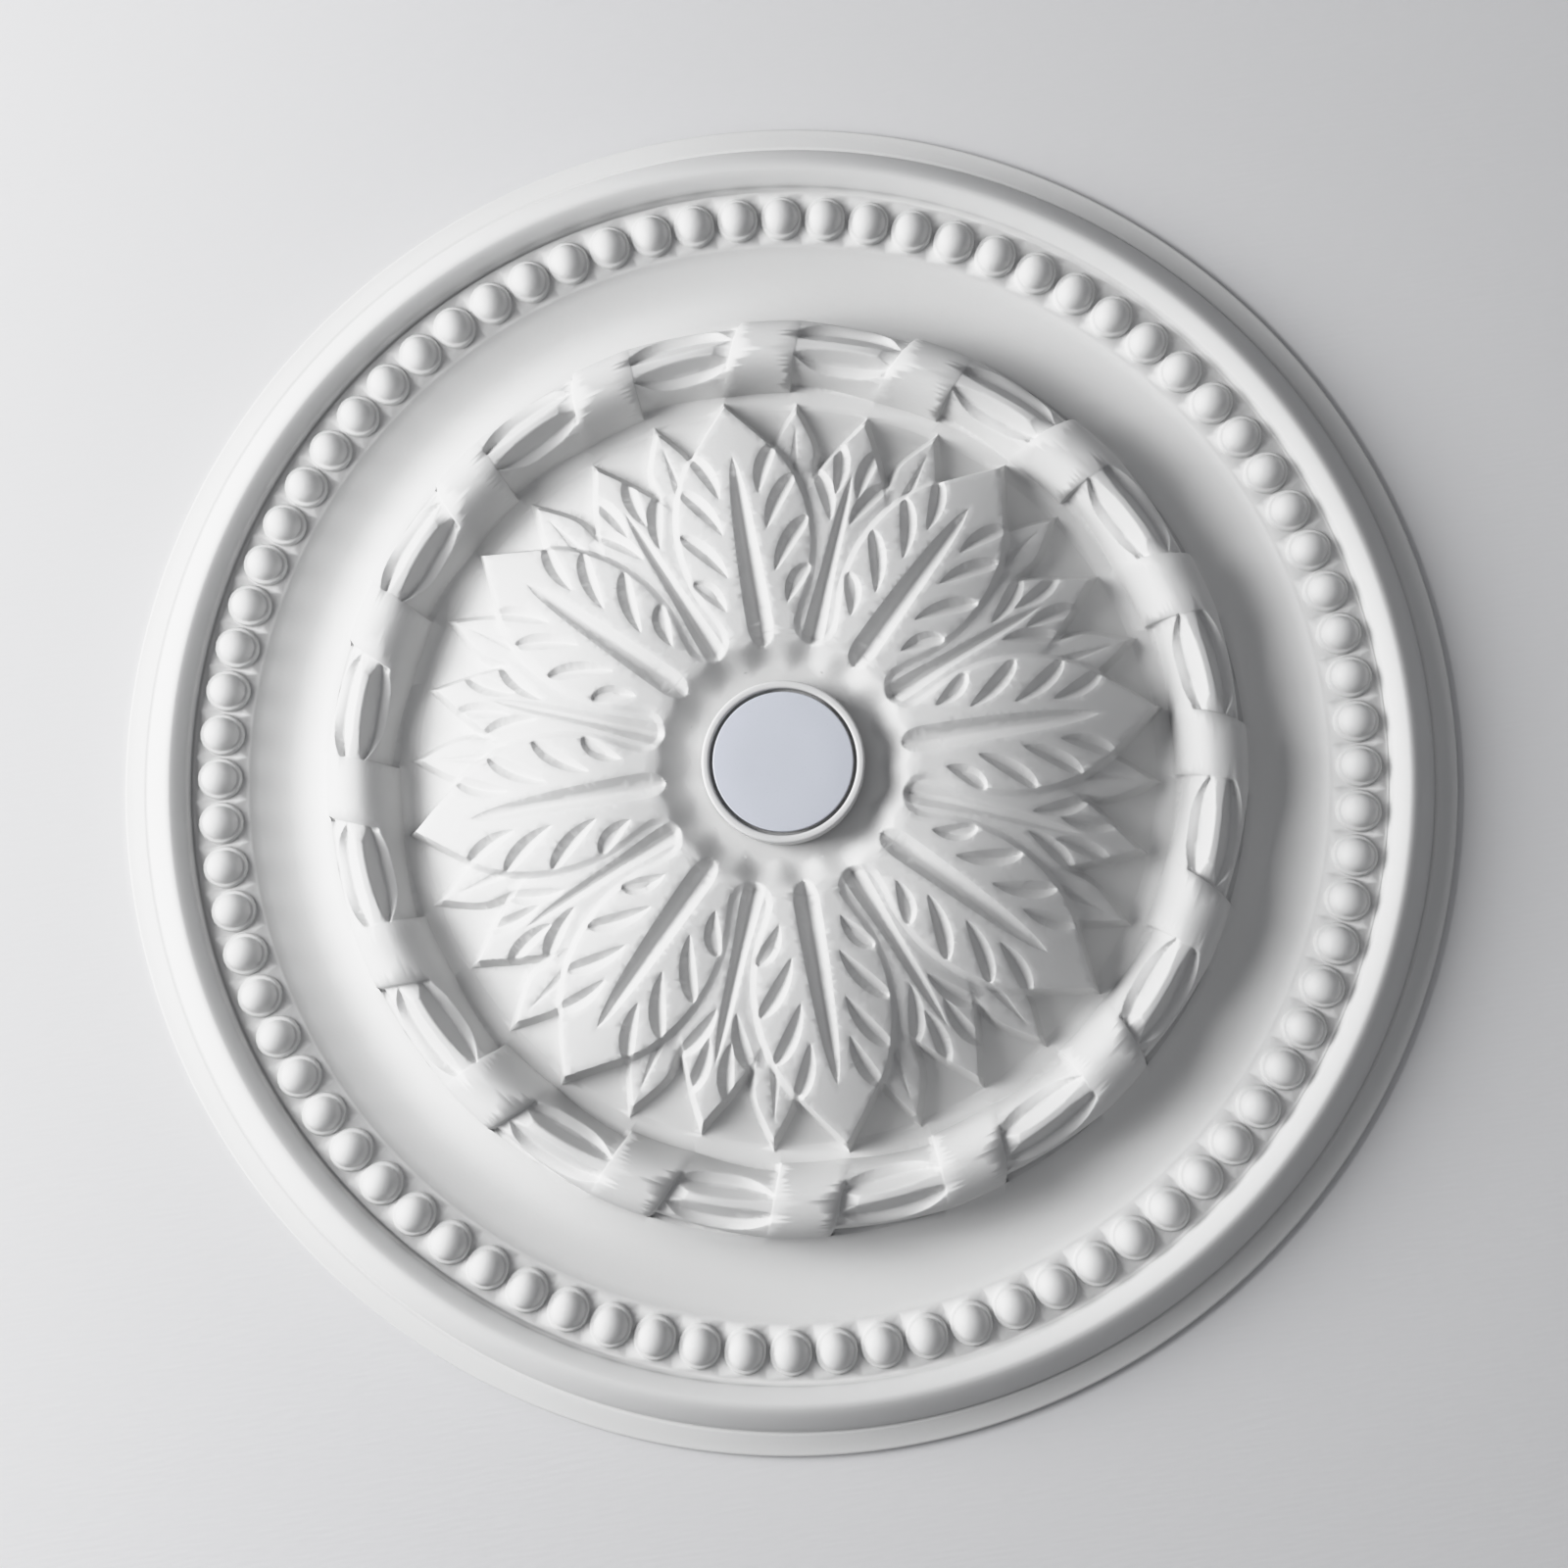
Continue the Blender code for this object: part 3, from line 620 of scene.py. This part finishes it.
def repeat_tree():
    """Build the node tree that repeats a wedge round the middle and joins it up."""
    tree = bpy.data.node_groups.new("repeat_round", "GeometryNodeTree")
    sockets = tree.interface
    sockets.new_socket("Wedge", in_out="INPUT", socket_type="NodeSocketGeometry")
    count = sockets.new_socket("Count", in_out="INPUT", socket_type="NodeSocketInt")
    weld = sockets.new_socket("Weld Distance", in_out="INPUT", socket_type="NodeSocketFloat")
    finish = sockets.new_socket("Material", in_out="INPUT", socket_type="NodeSocketMaterial")
    sockets.new_socket("Ring", in_out="OUTPUT", socket_type="NodeSocketGeometry")
    nodes, links = tree.nodes, tree.links
    start = nodes.new("NodeGroupInput")
    points = nodes.new("GeometryNodePoints")
    links.new(start.outputs["Count"], points.inputs["Count"])
    index = nodes.new("GeometryNodeInputIndex")
    turn = nodes.new("ShaderNodeMath")
    turn.operation = "DIVIDE"
    turn.inputs[0].default_value = 2.0 * pi
    links.new(start.outputs["Count"], turn.inputs[1])
    angle = nodes.new("ShaderNodeMath")
    angle.operation = "MULTIPLY"
    links.new(index.outputs["Index"], angle.inputs[0])
    links.new(turn.outputs[0], angle.inputs[1])
    rotation = nodes.new("ShaderNodeCombineXYZ")
    links.new(angle.outputs[0], rotation.inputs["Z"])
    copies = nodes.new("GeometryNodeInstanceOnPoints")
    links.new(points.outputs[0], copies.inputs["Points"])
    links.new(start.outputs["Wedge"], copies.inputs["Instance"])
    links.new(rotation.outputs[0], copies.inputs["Rotation"])
    real = nodes.new("GeometryNodeRealizeInstances")
    links.new(copies.outputs["Instances"], real.inputs["Geometry"])
    merged = nodes.new("GeometryNodeMergeByDistance")
    links.new(real.outputs["Geometry"], merged.inputs["Geometry"])
    links.new(start.outputs["Weld Distance"], merged.inputs["Distance"])
    painted = nodes.new("GeometryNodeSetMaterial")
    links.new(merged.outputs["Geometry"], painted.inputs["Geometry"])
    links.new(start.outputs["Material"], painted.inputs["Material"])
    end = nodes.new("NodeGroupOutput")
    links.new(painted.outputs["Geometry"], end.inputs["Ring"])
    return tree, count.identifier, weld.identifier, finish.identifier


def repeated(obj, count, material):
    """Repeat a wedge round the middle with the node tree, and give the ring as a plain mesh."""
    tree, count_id, weld_id, material_id = repeat_tree()
    modifier = obj.modifiers.new("repeat", "NODES")
    modifier.node_group = tree
    modifier[count_id] = count
    modifier[weld_id] = WELD_GAP
    modifier[material_id] = material
    mesh = evaluated_mesh(obj)
    obj.modifiers.remove(modifier)
    bpy.data.node_groups.remove(tree)
    bpy.data.objects.remove(obj)
    return mesh


def rim_profile():
    """Give points over the rim: a long outer side, a round crest, a sloping inner side, a quirk."""
    points = []
    for step in range(RIM_STEPS + 1):
        share = step / RIM_STEPS
        radius = RIM_OUTER[0] + (RIM_CREST[0] - RIM_OUTER[0]) * share
        climb = 1.0 - (1.0 - share) ** RIM_CLIMB_POWER
        points.append((radius, RIM_OUTER[1] + (RIM_CREST[1] - RIM_OUTER[1]) * climb))
    for step in range(1, RIM_STEPS + 1):
        share = step / RIM_STEPS
        radius = RIM_CREST[0] + (RIM_EDGE[0] - RIM_CREST[0]) * share
        fall = share ** RIM_FALL_POWER
        points.append((radius, RIM_CREST[1] + (RIM_EDGE[1] - RIM_CREST[1]) * fall))
    return points + [RIM_SHOULDER, RIM_QUIRK]


def cove(outer, low, inner, steps):
    """Give points down a hollow moulding and up to its inner foot."""
    points = []
    for step in range(steps + 1):
        share = step / steps
        radius = outer[0] + (inner[0] - outer[0]) * share
        if radius > low[0]:
            part = (radius - low[0]) / (outer[0] - low[0])
            points.append((radius, low[1] + (outer[1] - low[1]) * part ** COVE_OUTER_POWER))
        else:
            part = (low[0] - radius) / (low[0] - inner[0])
            points.append((radius, low[1] + (inner[1] - low[1]) * part ** COVE_INNER_POWER))
    return points


def outer_profile():
    """Give the turned outline from the middle of the back, round the lip, to the bead channel."""
    points = [(radius, 0.0) for radius in BACK_RINGS]
    points += [(CASTING_RADIUS - inset, height) for inset, height in LIP_OUTLINE]
    return points + [BAND_SHOULDER, BAND_INNER, STEP_FOOT, *rim_profile(), BED_OUTER]


def strip(profile, low, high, steps):
    """Make a strip of a turned moulding between two angles."""
    radii = np.array([point[0] for point in profile])
    heights = np.array([point[1] for point in profile])
    angles = np.linspace(low, high, steps + 1)
    grid_radius, grid_angle = np.meshgrid(radii, angles, indexing="ij")
    grid_height = np.repeat(heights[:, None], steps + 1, axis=1)
    points = list(placed(grid_radius, grid_angle, grid_height).reshape(-1, 3))
    return points, grid_faces(len(profile), steps + 1)


def bed_height(radius):
    """Height of the shallow channel that the beads sit in."""
    share = (radius - BED_INNER[0]) / (BED_OUTER[0] - BED_INNER[0])
    level = BED_INNER[1] + (BED_OUTER[1] - BED_INNER[1]) * share
    return level - BED_DIP * hump(share)


def stretch_edge(half_angle):
    """Give the edge of one bead's stretch of the channel, as radius and angle, once round."""
    per_side = STEPS_PER_BEAD // 2
    turns = [step * half_angle / per_side for step in range(per_side)]
    width = BED_INNER[0] - BED_OUTER[0]
    across = [width * step / BEAD_SIDE_STEPS for step in range(BEAD_SIDE_STEPS)]
    edge = [(BED_OUTER[0], turn) for turn in turns]
    edge += [(BED_OUTER[0] + part, half_angle) for part in across]
    edge += [(BED_INNER[0], half_angle - turn) for turn in turns]
    edge += [(BED_INNER[0], -turn) for turn in turns]
    edge += [(BED_INNER[0] - part, -half_angle) for part in across]
    return edge + [(BED_OUTER[0], turn - half_angle) for turn in turns]


def bead_patch(half_angle):
    """Make one bead in its stretch of the channel, as rings from the stretch's edge inward."""
    radii, angles = np.array(stretch_edge(half_angle)).T
    count = len(radii)
    around = np.arange(count) * 2.0 * pi / count
    oval = np.stack([np.cos(around) * BEAD_HALF_LENGTH, np.sin(around) * BEAD_HALF_WIDTH], -1)
    points = list(placed(radii, angles, bed_height(radii)))
    for scale, height in BEAD_SECTION:
        flat = np.array([BEAD_CIRCLE, 0.0]) + oval * scale
        points += list(np.column_stack([flat, np.full(count, height)]) * MM)
    rows = len(BEAD_SECTION) + 1
    faces = ring_faces(rows, count)
    top = len(points)
    points.append(np.array([BEAD_CIRCLE, 0.0, BEAD_TOP]) * MM)
    start = (rows - 1) * count
    faces += [(start + step, start + (step + 1) % count, top) for step in range(count)]
    return points, faces


def joined(name, parts):
    """Put several lists of points and faces in one mesh and join what meets."""
    points, faces = [], []
    for part_points, part_faces in parts:
        shift = len(points)
        points += part_points
        faces += [tuple(index + shift for index in face) for face in part_faces]
    mesh = mesh_from(name, points, faces)
    work = bmesh.new()
    work.from_mesh(mesh)
    bmesh.ops.remove_doubles(work, verts=work.verts, dist=WELD_GAP)
    work.to_mesh(mesh)
    work.free()
    return mesh


def moulding_ring(material):
    """Make the back, the outer mouldings, the beads and the cove."""
    half_angle = 180.0 / BEAD_COUNT
    outside = strip(outer_profile(), -half_angle, half_angle, STEPS_PER_BEAD)
    bead = bead_patch(half_angle)
    hollow = [BED_INNER, *cove(COVE_OUTER, COVE_LOW, GARLAND_OUTER, COVE_STEPS)]
    inside = strip(hollow, -half_angle, half_angle, STEPS_PER_BEAD)
    obj = new_object("moulding_wedge", joined("moulding_wedge", [outside, bead, inside]))
    return repeated(obj, BEAD_COUNT, material)


def garland_ring(material, triangles):
    """Make the garland from one carved cell."""
    half = 180.0 / GARLAND_CELLS
    turns = np.arange(1, GARLAND_ROWS) * pi / GARLAND_ROWS
    middle = (GARLAND_INNER[0] + GARLAND_OUTER[0]) / 2.0
    reach = (GARLAND_OUTER[0] - GARLAND_INNER[0]) / 2.0
    radii = middle - reach * np.cos(turns)
    ends = [(0, *GARLAND_INNER, JOIN_STEP), (len(radii) - 1, *GARLAND_OUTER, PLAIN_STEP)]
    wedge = carved_wedge(garland_relief, slanted, radii, -half, half, CELL_CENTRE, ends)
    obj = thinned(new_object("garland_cell", mesh_from("garland_cell", *wedge)), triangles)
    return repeated(obj, GARLAND_CELLS, material)


def leaf_ring(material, triangles):
    """Make the leaves and the dish from one eighth."""
    half = 180.0 / LEAF_SECTORS
    count = round((GARLAND_INNER[0] - LEAF_INNER_RADIUS) / LEAF_ROW_STEP)
    radii = np.linspace(LEAF_INNER_RADIUS, GARLAND_INNER[0], count + 1)[:-1]
    ends = [(len(radii) - 1, *GARLAND_INNER, JOIN_STEP)]
    points, faces = carved_wedge(leaf_relief, straight, radii, -half, half, 0.0, ends)
    columns = round(2.0 * half / FINE_STEP)
    middle = len(points)
    points.append(np.array([0.0, 0.0, DISH_HEIGHT]) * MM)
    faces += [(middle, step + 1, step) for step in range(columns)]
    obj = thinned(new_object("leaf_sector", mesh_from("leaf_sector", points, faces)), triangles)
    return repeated(obj, LEAF_SECTORS, material)


def finished_body(name, work, material):
    """Join what meets in a body, face it outward, turn it over to hang and paint it."""
    bmesh.ops.remove_doubles(work, verts=work.verts, dist=WELD_GAP)
    bmesh.ops.recalc_face_normals(work, faces=work.faces)
    mesh = bpy.data.meshes.new(name)
    work.to_mesh(mesh)
    work.free()
    mesh.transform(TURN_OVER)
    mesh.materials.append(material)
    mesh.polygons.foreach_set("use_smooth", [True] * len(mesh.polygons))
    return new_object(name, mesh)


def rose_casting(settings, material):
    """Join the rings of the casting in one closed body."""
    work = bmesh.new()
    rings = [moulding_ring(material), garland_ring(material, settings.garland_triangles),
             leaf_ring(material, settings.leaf_triangles)]
    for ring in rings:
        work.from_mesh(ring)
        bpy.data.meshes.remove(ring)
    return finished_body("rose", work, material)


def turned_piece(name, profile, material):
    """Turn a closed outline, given as radius and height, round the middle."""
    points = []
    for radius, height in profile:
        points += circle(radius, COVER_STEPS, height)
    turned = mesh_from(name, points, ring_faces(len(profile), COVER_STEPS))
    work = bmesh.new()
    work.from_mesh(turned)
    bpy.data.meshes.remove(turned)
    return finished_body(name, work, material)


def rounded(points, radius, steps):
    """Round the corners of an outline whose points are given as radius and height."""
    outline = [points[0]]
    for before, corner, after in zip(points, points[1:], points[2:]):
        back = Vector(before) - Vector(corner)
        on = Vector(after) - Vector(corner)
        reach = min(radius, back.length * ROUNDING_REACH, on.length * ROUNDING_REACH)
        start = Vector(corner) + back.normalized() * reach
        end = Vector(corner) + on.normalized() * reach
        for step in range(steps + 1):
            share = step / steps
            one = start.lerp(Vector(corner), share)
            two = Vector(corner).lerp(end, share)
            outline.append(tuple(one.lerp(two, share)))
    outline.append(points[-1])
    return outline


def new_material(name):
    """Make a node material and give it with its nodes, links and shader."""
    material = bpy.data.materials.new(name)
    material.use_nodes = True
    nodes, links = material.node_tree.nodes, material.node_tree.links
    shader = nodes["Principled BSDF"]
    shader.distribution = "GGX"
    return material, nodes, links, shader


def noise(nodes, links, source, scale, detail):
    """Add a noise and give its value."""
    node = nodes.new("ShaderNodeTexNoise")
    node.inputs["Scale"].default_value = scale
    node.inputs["Detail"].default_value = detail
    links.new(source, node.inputs["Vector"])
    return node.outputs["Fac"]


def spread(nodes, links, source, low, high, to_low, to_high):
    """Spread a value's range over another range."""
    node = nodes.new("ShaderNodeMapRange")
    for name, value in (("From Min", low), ("From Max", high), ("To Min", to_low),
                        ("To Max", to_high)):
        node.inputs[name].default_value = value
    links.new(source, node.inputs["Value"])
    return node.outputs["Result"]


def tinted(nodes, links, factor, dark, light):
    """Mix two colours by a value."""
    node = nodes.new("ShaderNodeMix")
    node.data_type = "RGBA"
    colours = [socket for socket in node.inputs if socket.type == "RGBA"]
    colours[0].default_value = (*dark, 1.0)
    colours[1].default_value = (*light, 1.0)
    links.new(factor, node.inputs["Factor"])
    return [socket for socket in node.outputs if socket.type == "RGBA"][0]


def bumped(nodes, links, height, distance, strength):
    """Turn a height into a bumped normal."""
    node = nodes.new("ShaderNodeBump")
    node.inputs["Distance"].default_value = distance
    node.inputs["Strength"].default_value = strength
    links.new(height, node.inputs["Height"])
    return node.outputs["Normal"]


def grained_material(name, colour, shade, clouds, grain, roughness, bump):
    """Make a finish with faint clouds of tone, and a fine grain in its sheen and surface."""
    material, nodes, links, shader = new_material(name)
    place = nodes.new("ShaderNodeTexCoord").outputs["Object"]
    cloud = noise(nodes, links, place, *clouds)
    fine = noise(nodes, links, place, *grain)
    tone = spread(nodes, links, cloud, *CLOUD_RANGE, 0.0, 1.0)
    dark = tuple(part * shade for part in colour)
    links.new(tinted(nodes, links, tone, dark, colour), shader.inputs["Base Color"])
    links.new(spread(nodes, links, fine, *GRAIN_RANGE, *roughness), shader.inputs["Roughness"])
    links.new(bumped(nodes, links, fine, *bump), shader.inputs["Normal"])
    return material, shader


def plaster_material(colour):
    """Smooth painted plaster with a soft sheen."""
    material, shader = grained_material(
        "painted_plaster", colour, shade=0.965, clouds=(9.0, 0.0), grain=(700.0, 0.0),
        roughness=(0.55, 0.68), bump=(0.0002, 0.1))
    shader.inputs["IOR"].default_value = 1.4
    return material


def plastic_material(name, colour, roughness):
    """Moulded plastic with a very fine grain."""
    return grained_material(
        name, colour, shade=0.985, clouds=(40.0, 2.0), grain=(1800.0, 2.0),
        roughness=(roughness - 0.03, roughness + 0.03), bump=(0.0001, 0.05))[0]


def cover_ring(colour):
    """Make the cover's ring, with the shallow seat that the disc lies in."""
    low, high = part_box("cap_ring")
    disc_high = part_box("cap_disc")[1]
    radius = high.x / MM - COVER_MARGIN
    foot, top = -high.z / MM, -low.z / MM - RING_TOP_MARGIN
    seat_radius = radius - RING_WALL
    seat = -disc_high.z / MM - SEAT_GAP
    outline = [(0.0, foot), (radius, foot), (radius, top), (seat_radius, top),
               (seat_radius, seat), (0.0, seat)]
    return turned_piece("cover_ring", rounded(outline, RING_ROUNDING, RING_ROUND_STEPS),
                        plastic_material("ring_plastic", colour, 0.36))


def cover_disc(colour):
    """Make the cover's disc, with a softened edge."""
    low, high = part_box("cap_disc")
    radius = high.x / MM - COVER_MARGIN
    foot, top = -high.z / MM, -low.z / MM
    outline = [(0.0, foot), (radius, foot), (radius, top), (radius / 2.0, top), (0.0, top)]
    return turned_piece("cover_disc", rounded(outline, DISC_ROUNDING, DISC_ROUND_STEPS),
                        plastic_material("disc_plastic", colour, 0.3))


def ceiling_material():
    """Pale painted ceiling with faint brush streaks, clear when seen from above."""
    material, nodes, links, shader = new_material("pale_ceiling")
    shader.inputs["Roughness"].default_value = 0.8
    place = nodes.new("ShaderNodeTexCoord").outputs["Object"]
    streaks = nodes.new("ShaderNodeMapping")
    streaks.inputs["Rotation"].default_value = (0.0, 0.0, radians(32.0))
    streaks.inputs["Scale"].default_value = (1.0, 6.0, 1.0)
    links.new(place, streaks.inputs["Vector"])
    lines = noise(nodes, links, streaks.outputs["Vector"], scale=90.0, detail=0.0)
    shader.inputs["Base Color"].default_value = (0.84, 0.84, 0.85, 1.0)
    shader.inputs["Specular IOR Level"].default_value = 0.0
    links.new(bumped(nodes, links, lines, distance=0.0008, strength=0.08), shader.inputs["Normal"])
    clear = nodes.new("ShaderNodeBsdfTransparent")
    sides = nodes.new("ShaderNodeMixShader")
    links.new(nodes.new("ShaderNodeNewGeometry").outputs["Backfacing"], sides.inputs["Fac"])
    links.new(shader.outputs["BSDF"], sides.inputs[1])
    links.new(clear.outputs["BSDF"], sides.inputs[2])
    links.new(sides.outputs["Shader"], nodes["Material Output"].inputs["Surface"])
    return material


def floor_material():
    """Pale matt floor with faint clouds of tone and a faint glow, as of a sunlit room."""
    material, nodes, links, shader = new_material("pale_floor")
    shader.inputs["Roughness"].default_value = 0.85
    place = nodes.new("ShaderNodeTexCoord").outputs["Object"]
    clouds = noise(nodes, links, place, scale=3.0, detail=2.0)
    tone = tinted(nodes, links, clouds, dark=(0.74, 0.74, 0.75), light=(0.8, 0.8, 0.8))
    links.new(tone, shader.inputs["Base Color"])
    shader.inputs["Specular IOR Level"].default_value = 0.0
    shader.inputs["Emission Color"].default_value = ROOM_COLOUR
    shader.inputs["Emission Strength"].default_value = FLOOR_GLOW
    material.cycles.emission_sampling = "NONE"
    return material


def from_picture(right, up, out):
    """Turn a place or direction in the picture's axes into the object's axes."""
    x = right * cos(PICTURE_TURN) + up * sin(PICTURE_TURN)
    y = -right * sin(PICTURE_TURN) + up * cos(PICTURE_TURN)
    return Vector((-x, y, -out))


def add_camera():
    """Set up the camera at the photograph's viewing angle."""
    tilt = sin(CAMERA_TILT) * CAMERA_DISTANCE
    right, up = tilt * cos(CAMERA_SIDE), tilt * sin(CAMERA_SIDE)
    place = from_picture(right, up, cos(CAMERA_TILT) * CAMERA_DISTANCE)
    forward = (from_picture(*CAMERA_AIM, 0.0) - place).normalized()
    top = from_picture(0.0, 1.0, 0.0)
    top = (top - forward * top.dot(forward)).normalized()
    side = forward.cross(top)
    turn = Matrix((side, top, -forward)).transposed().to_4x4()
    data = bpy.data.cameras.new("camera")
    data.lens = CAMERA_LENS
    data.sensor_width = CAMERA_SENSOR
    camera = bpy.data.objects.new("camera", data)
    camera.matrix_world = Matrix.Translation(place) @ turn
    bpy.context.scene.collection.objects.link(camera)
    bpy.context.scene.camera = camera


def add_softbox(name, place, target, size, power):
    """Add a soft rectangular light that faces a target."""
    data = bpy.data.lights.new(name, "AREA")
    data.shape = "RECTANGLE"
    data.size, data.size_y = size
    data.energy = power
    light = bpy.data.objects.new(name, data)
    light.location = place
    light.rotation_euler = (target - place).to_track_quat("-Z", "Y").to_euler()
    bpy.context.scene.collection.objects.link(light)


def add_ceiling():
    """Lay a pale ceiling round the rose, open where the rose covers it."""
    points = circle(CEILING_HOLE, CEILING_STEPS, CEILING_GAP)
    points += circle(CEILING_RADIUS, CEILING_STEPS, CEILING_GAP)
    ceiling = new_object("ceiling", mesh_from("ceiling", points, ring_faces(2, CEILING_STEPS)))
    if ceiling.data.polygons[0].normal.z > 0.0:
        ceiling.data.flip_normals()
    ceiling.data.materials.append(ceiling_material())


def add_floor():
    """Lay a pale floor far below."""
    half, height = FLOOR_HALF * MM, FLOOR_HEIGHT * MM
    corners = [(-half, -half, height), (half, -half, height), (half, half, height),
               (-half, half, height)]
    floor = new_object("floor", mesh_from("floor", corners, [(0, 1, 2, 3)]))
    floor.data.materials.append(floor_material())


def add_world():
    """Fill the room with faint even light."""
    world = bpy.data.worlds.new("soft_room")
    world.use_nodes = True
    background = world.node_tree.nodes["Background"]
    background.inputs["Color"].default_value = ROOM_COLOUR
    background.inputs["Strength"].default_value = ROOM_STRENGTH
    bpy.context.scene.world = world


def set_tone(view):
    """Show the picture as it is, with its brightest tones gently held below white."""
    view.view_transform = "Standard"
    view.use_curve_mapping = True
    mapping = view.curve_mapping
    mapping.white_level = (TONE_WHITE, TONE_WHITE, TONE_WHITE)
    curve = mapping.curves[3]
    for light, shown in TONE_POINTS:
        curve.points.new(light / TONE_WHITE, shown)
    mapping.update()


class BuildRose(bpy.types.Operator):
    """Build the plaster casting"""

    bl_idname = "ceiling_rose.build_casting"
    bl_label = "Build casting"

    def execute(self, context):
        settings = context.scene.ceiling_rose
        material = plaster_material(tuple(settings.plaster_colour))
        rose = rose_casting(settings, material)
        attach(rose, "root")
        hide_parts("rose_casting")
        return {"FINISHED"}


class BuildCover(bpy.types.Operator):
    """Build the ring and the disc of the cover in the middle"""

    bl_idname = "ceiling_rose.build_cover"
    bl_label = "Build cover"

    def execute(self, context):
        settings = context.scene.ceiling_rose
        ring = cover_ring(tuple(settings.ring_colour))
        disc = cover_disc(tuple(settings.disc_colour))
        for piece, node, slot in ((ring, "cap_ring", "ring_plastic"),
                                  (disc, "cap_disc", "disc_plastic")):
            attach(piece, "root")
            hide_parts(node)
        return {"FINISHED"}


class BuildStage(bpy.types.Operator):
    """Build the ceiling, the floor, the lights and the camera"""

    bl_idname = "ceiling_rose.build_stage"
    bl_label = "Build stage"

    def execute(self, context):
        add_ceiling()
        add_floor()
        add_world()
        place, size, power = WINDOW_LIGHT
        add_softbox("window", from_picture(*place), Vector(WINDOW_TARGET), size, power)
        place, size, power = BACK_LIGHT
        add_softbox("skylight", Vector(place), Vector((0.0, 0.0, 0.0)), size, power)
        add_camera()
        context.scene.cycles.diffuse_bounces = DIFFUSE_BOUNCES
        context.scene.cycles.glossy_bounces = GLOSSY_BOUNCES
        set_tone(context.scene.view_settings)
        return {"FINISHED"}


class RosePanel(bpy.types.Panel):
    """Lists the rose's colours, triangle counts and building steps."""

    bl_idname = "VIEW3D_PT_ceiling_rose"
    bl_label = "Ceiling Rose"
    bl_space_type = "VIEW_3D"
    bl_region_type = "UI"
    bl_category = "Ceiling Rose"

    def draw(self, context):
        settings = context.scene.ceiling_rose
        for name in ("plaster_colour", "ring_colour", "disc_colour", "leaf_triangles",
                     "garland_triangles"):
            self.layout.prop(settings, name)
        for operator in OPERATORS:
            self.layout.operator(operator.bl_idname)


OPERATORS = (BuildRose, BuildCover, BuildStage)
CLASSES = (RoseSettings, *OPERATORS, RosePanel)


def register():
    for item in CLASSES:
        bpy.utils.register_class(item)
    bpy.types.Scene.ceiling_rose = bpy.props.PointerProperty(type=RoseSettings)


def unregister():
    del bpy.types.Scene.ceiling_rose
    for item in reversed(CLASSES):
        bpy.utils.unregister_class(item)


def main():
    register()
    bpy.ops.ceiling_rose.build_casting()
    bpy.ops.ceiling_rose.build_cover()
    bpy.ops.ceiling_rose.build_stage()


if __name__ == "__main__":
    main()
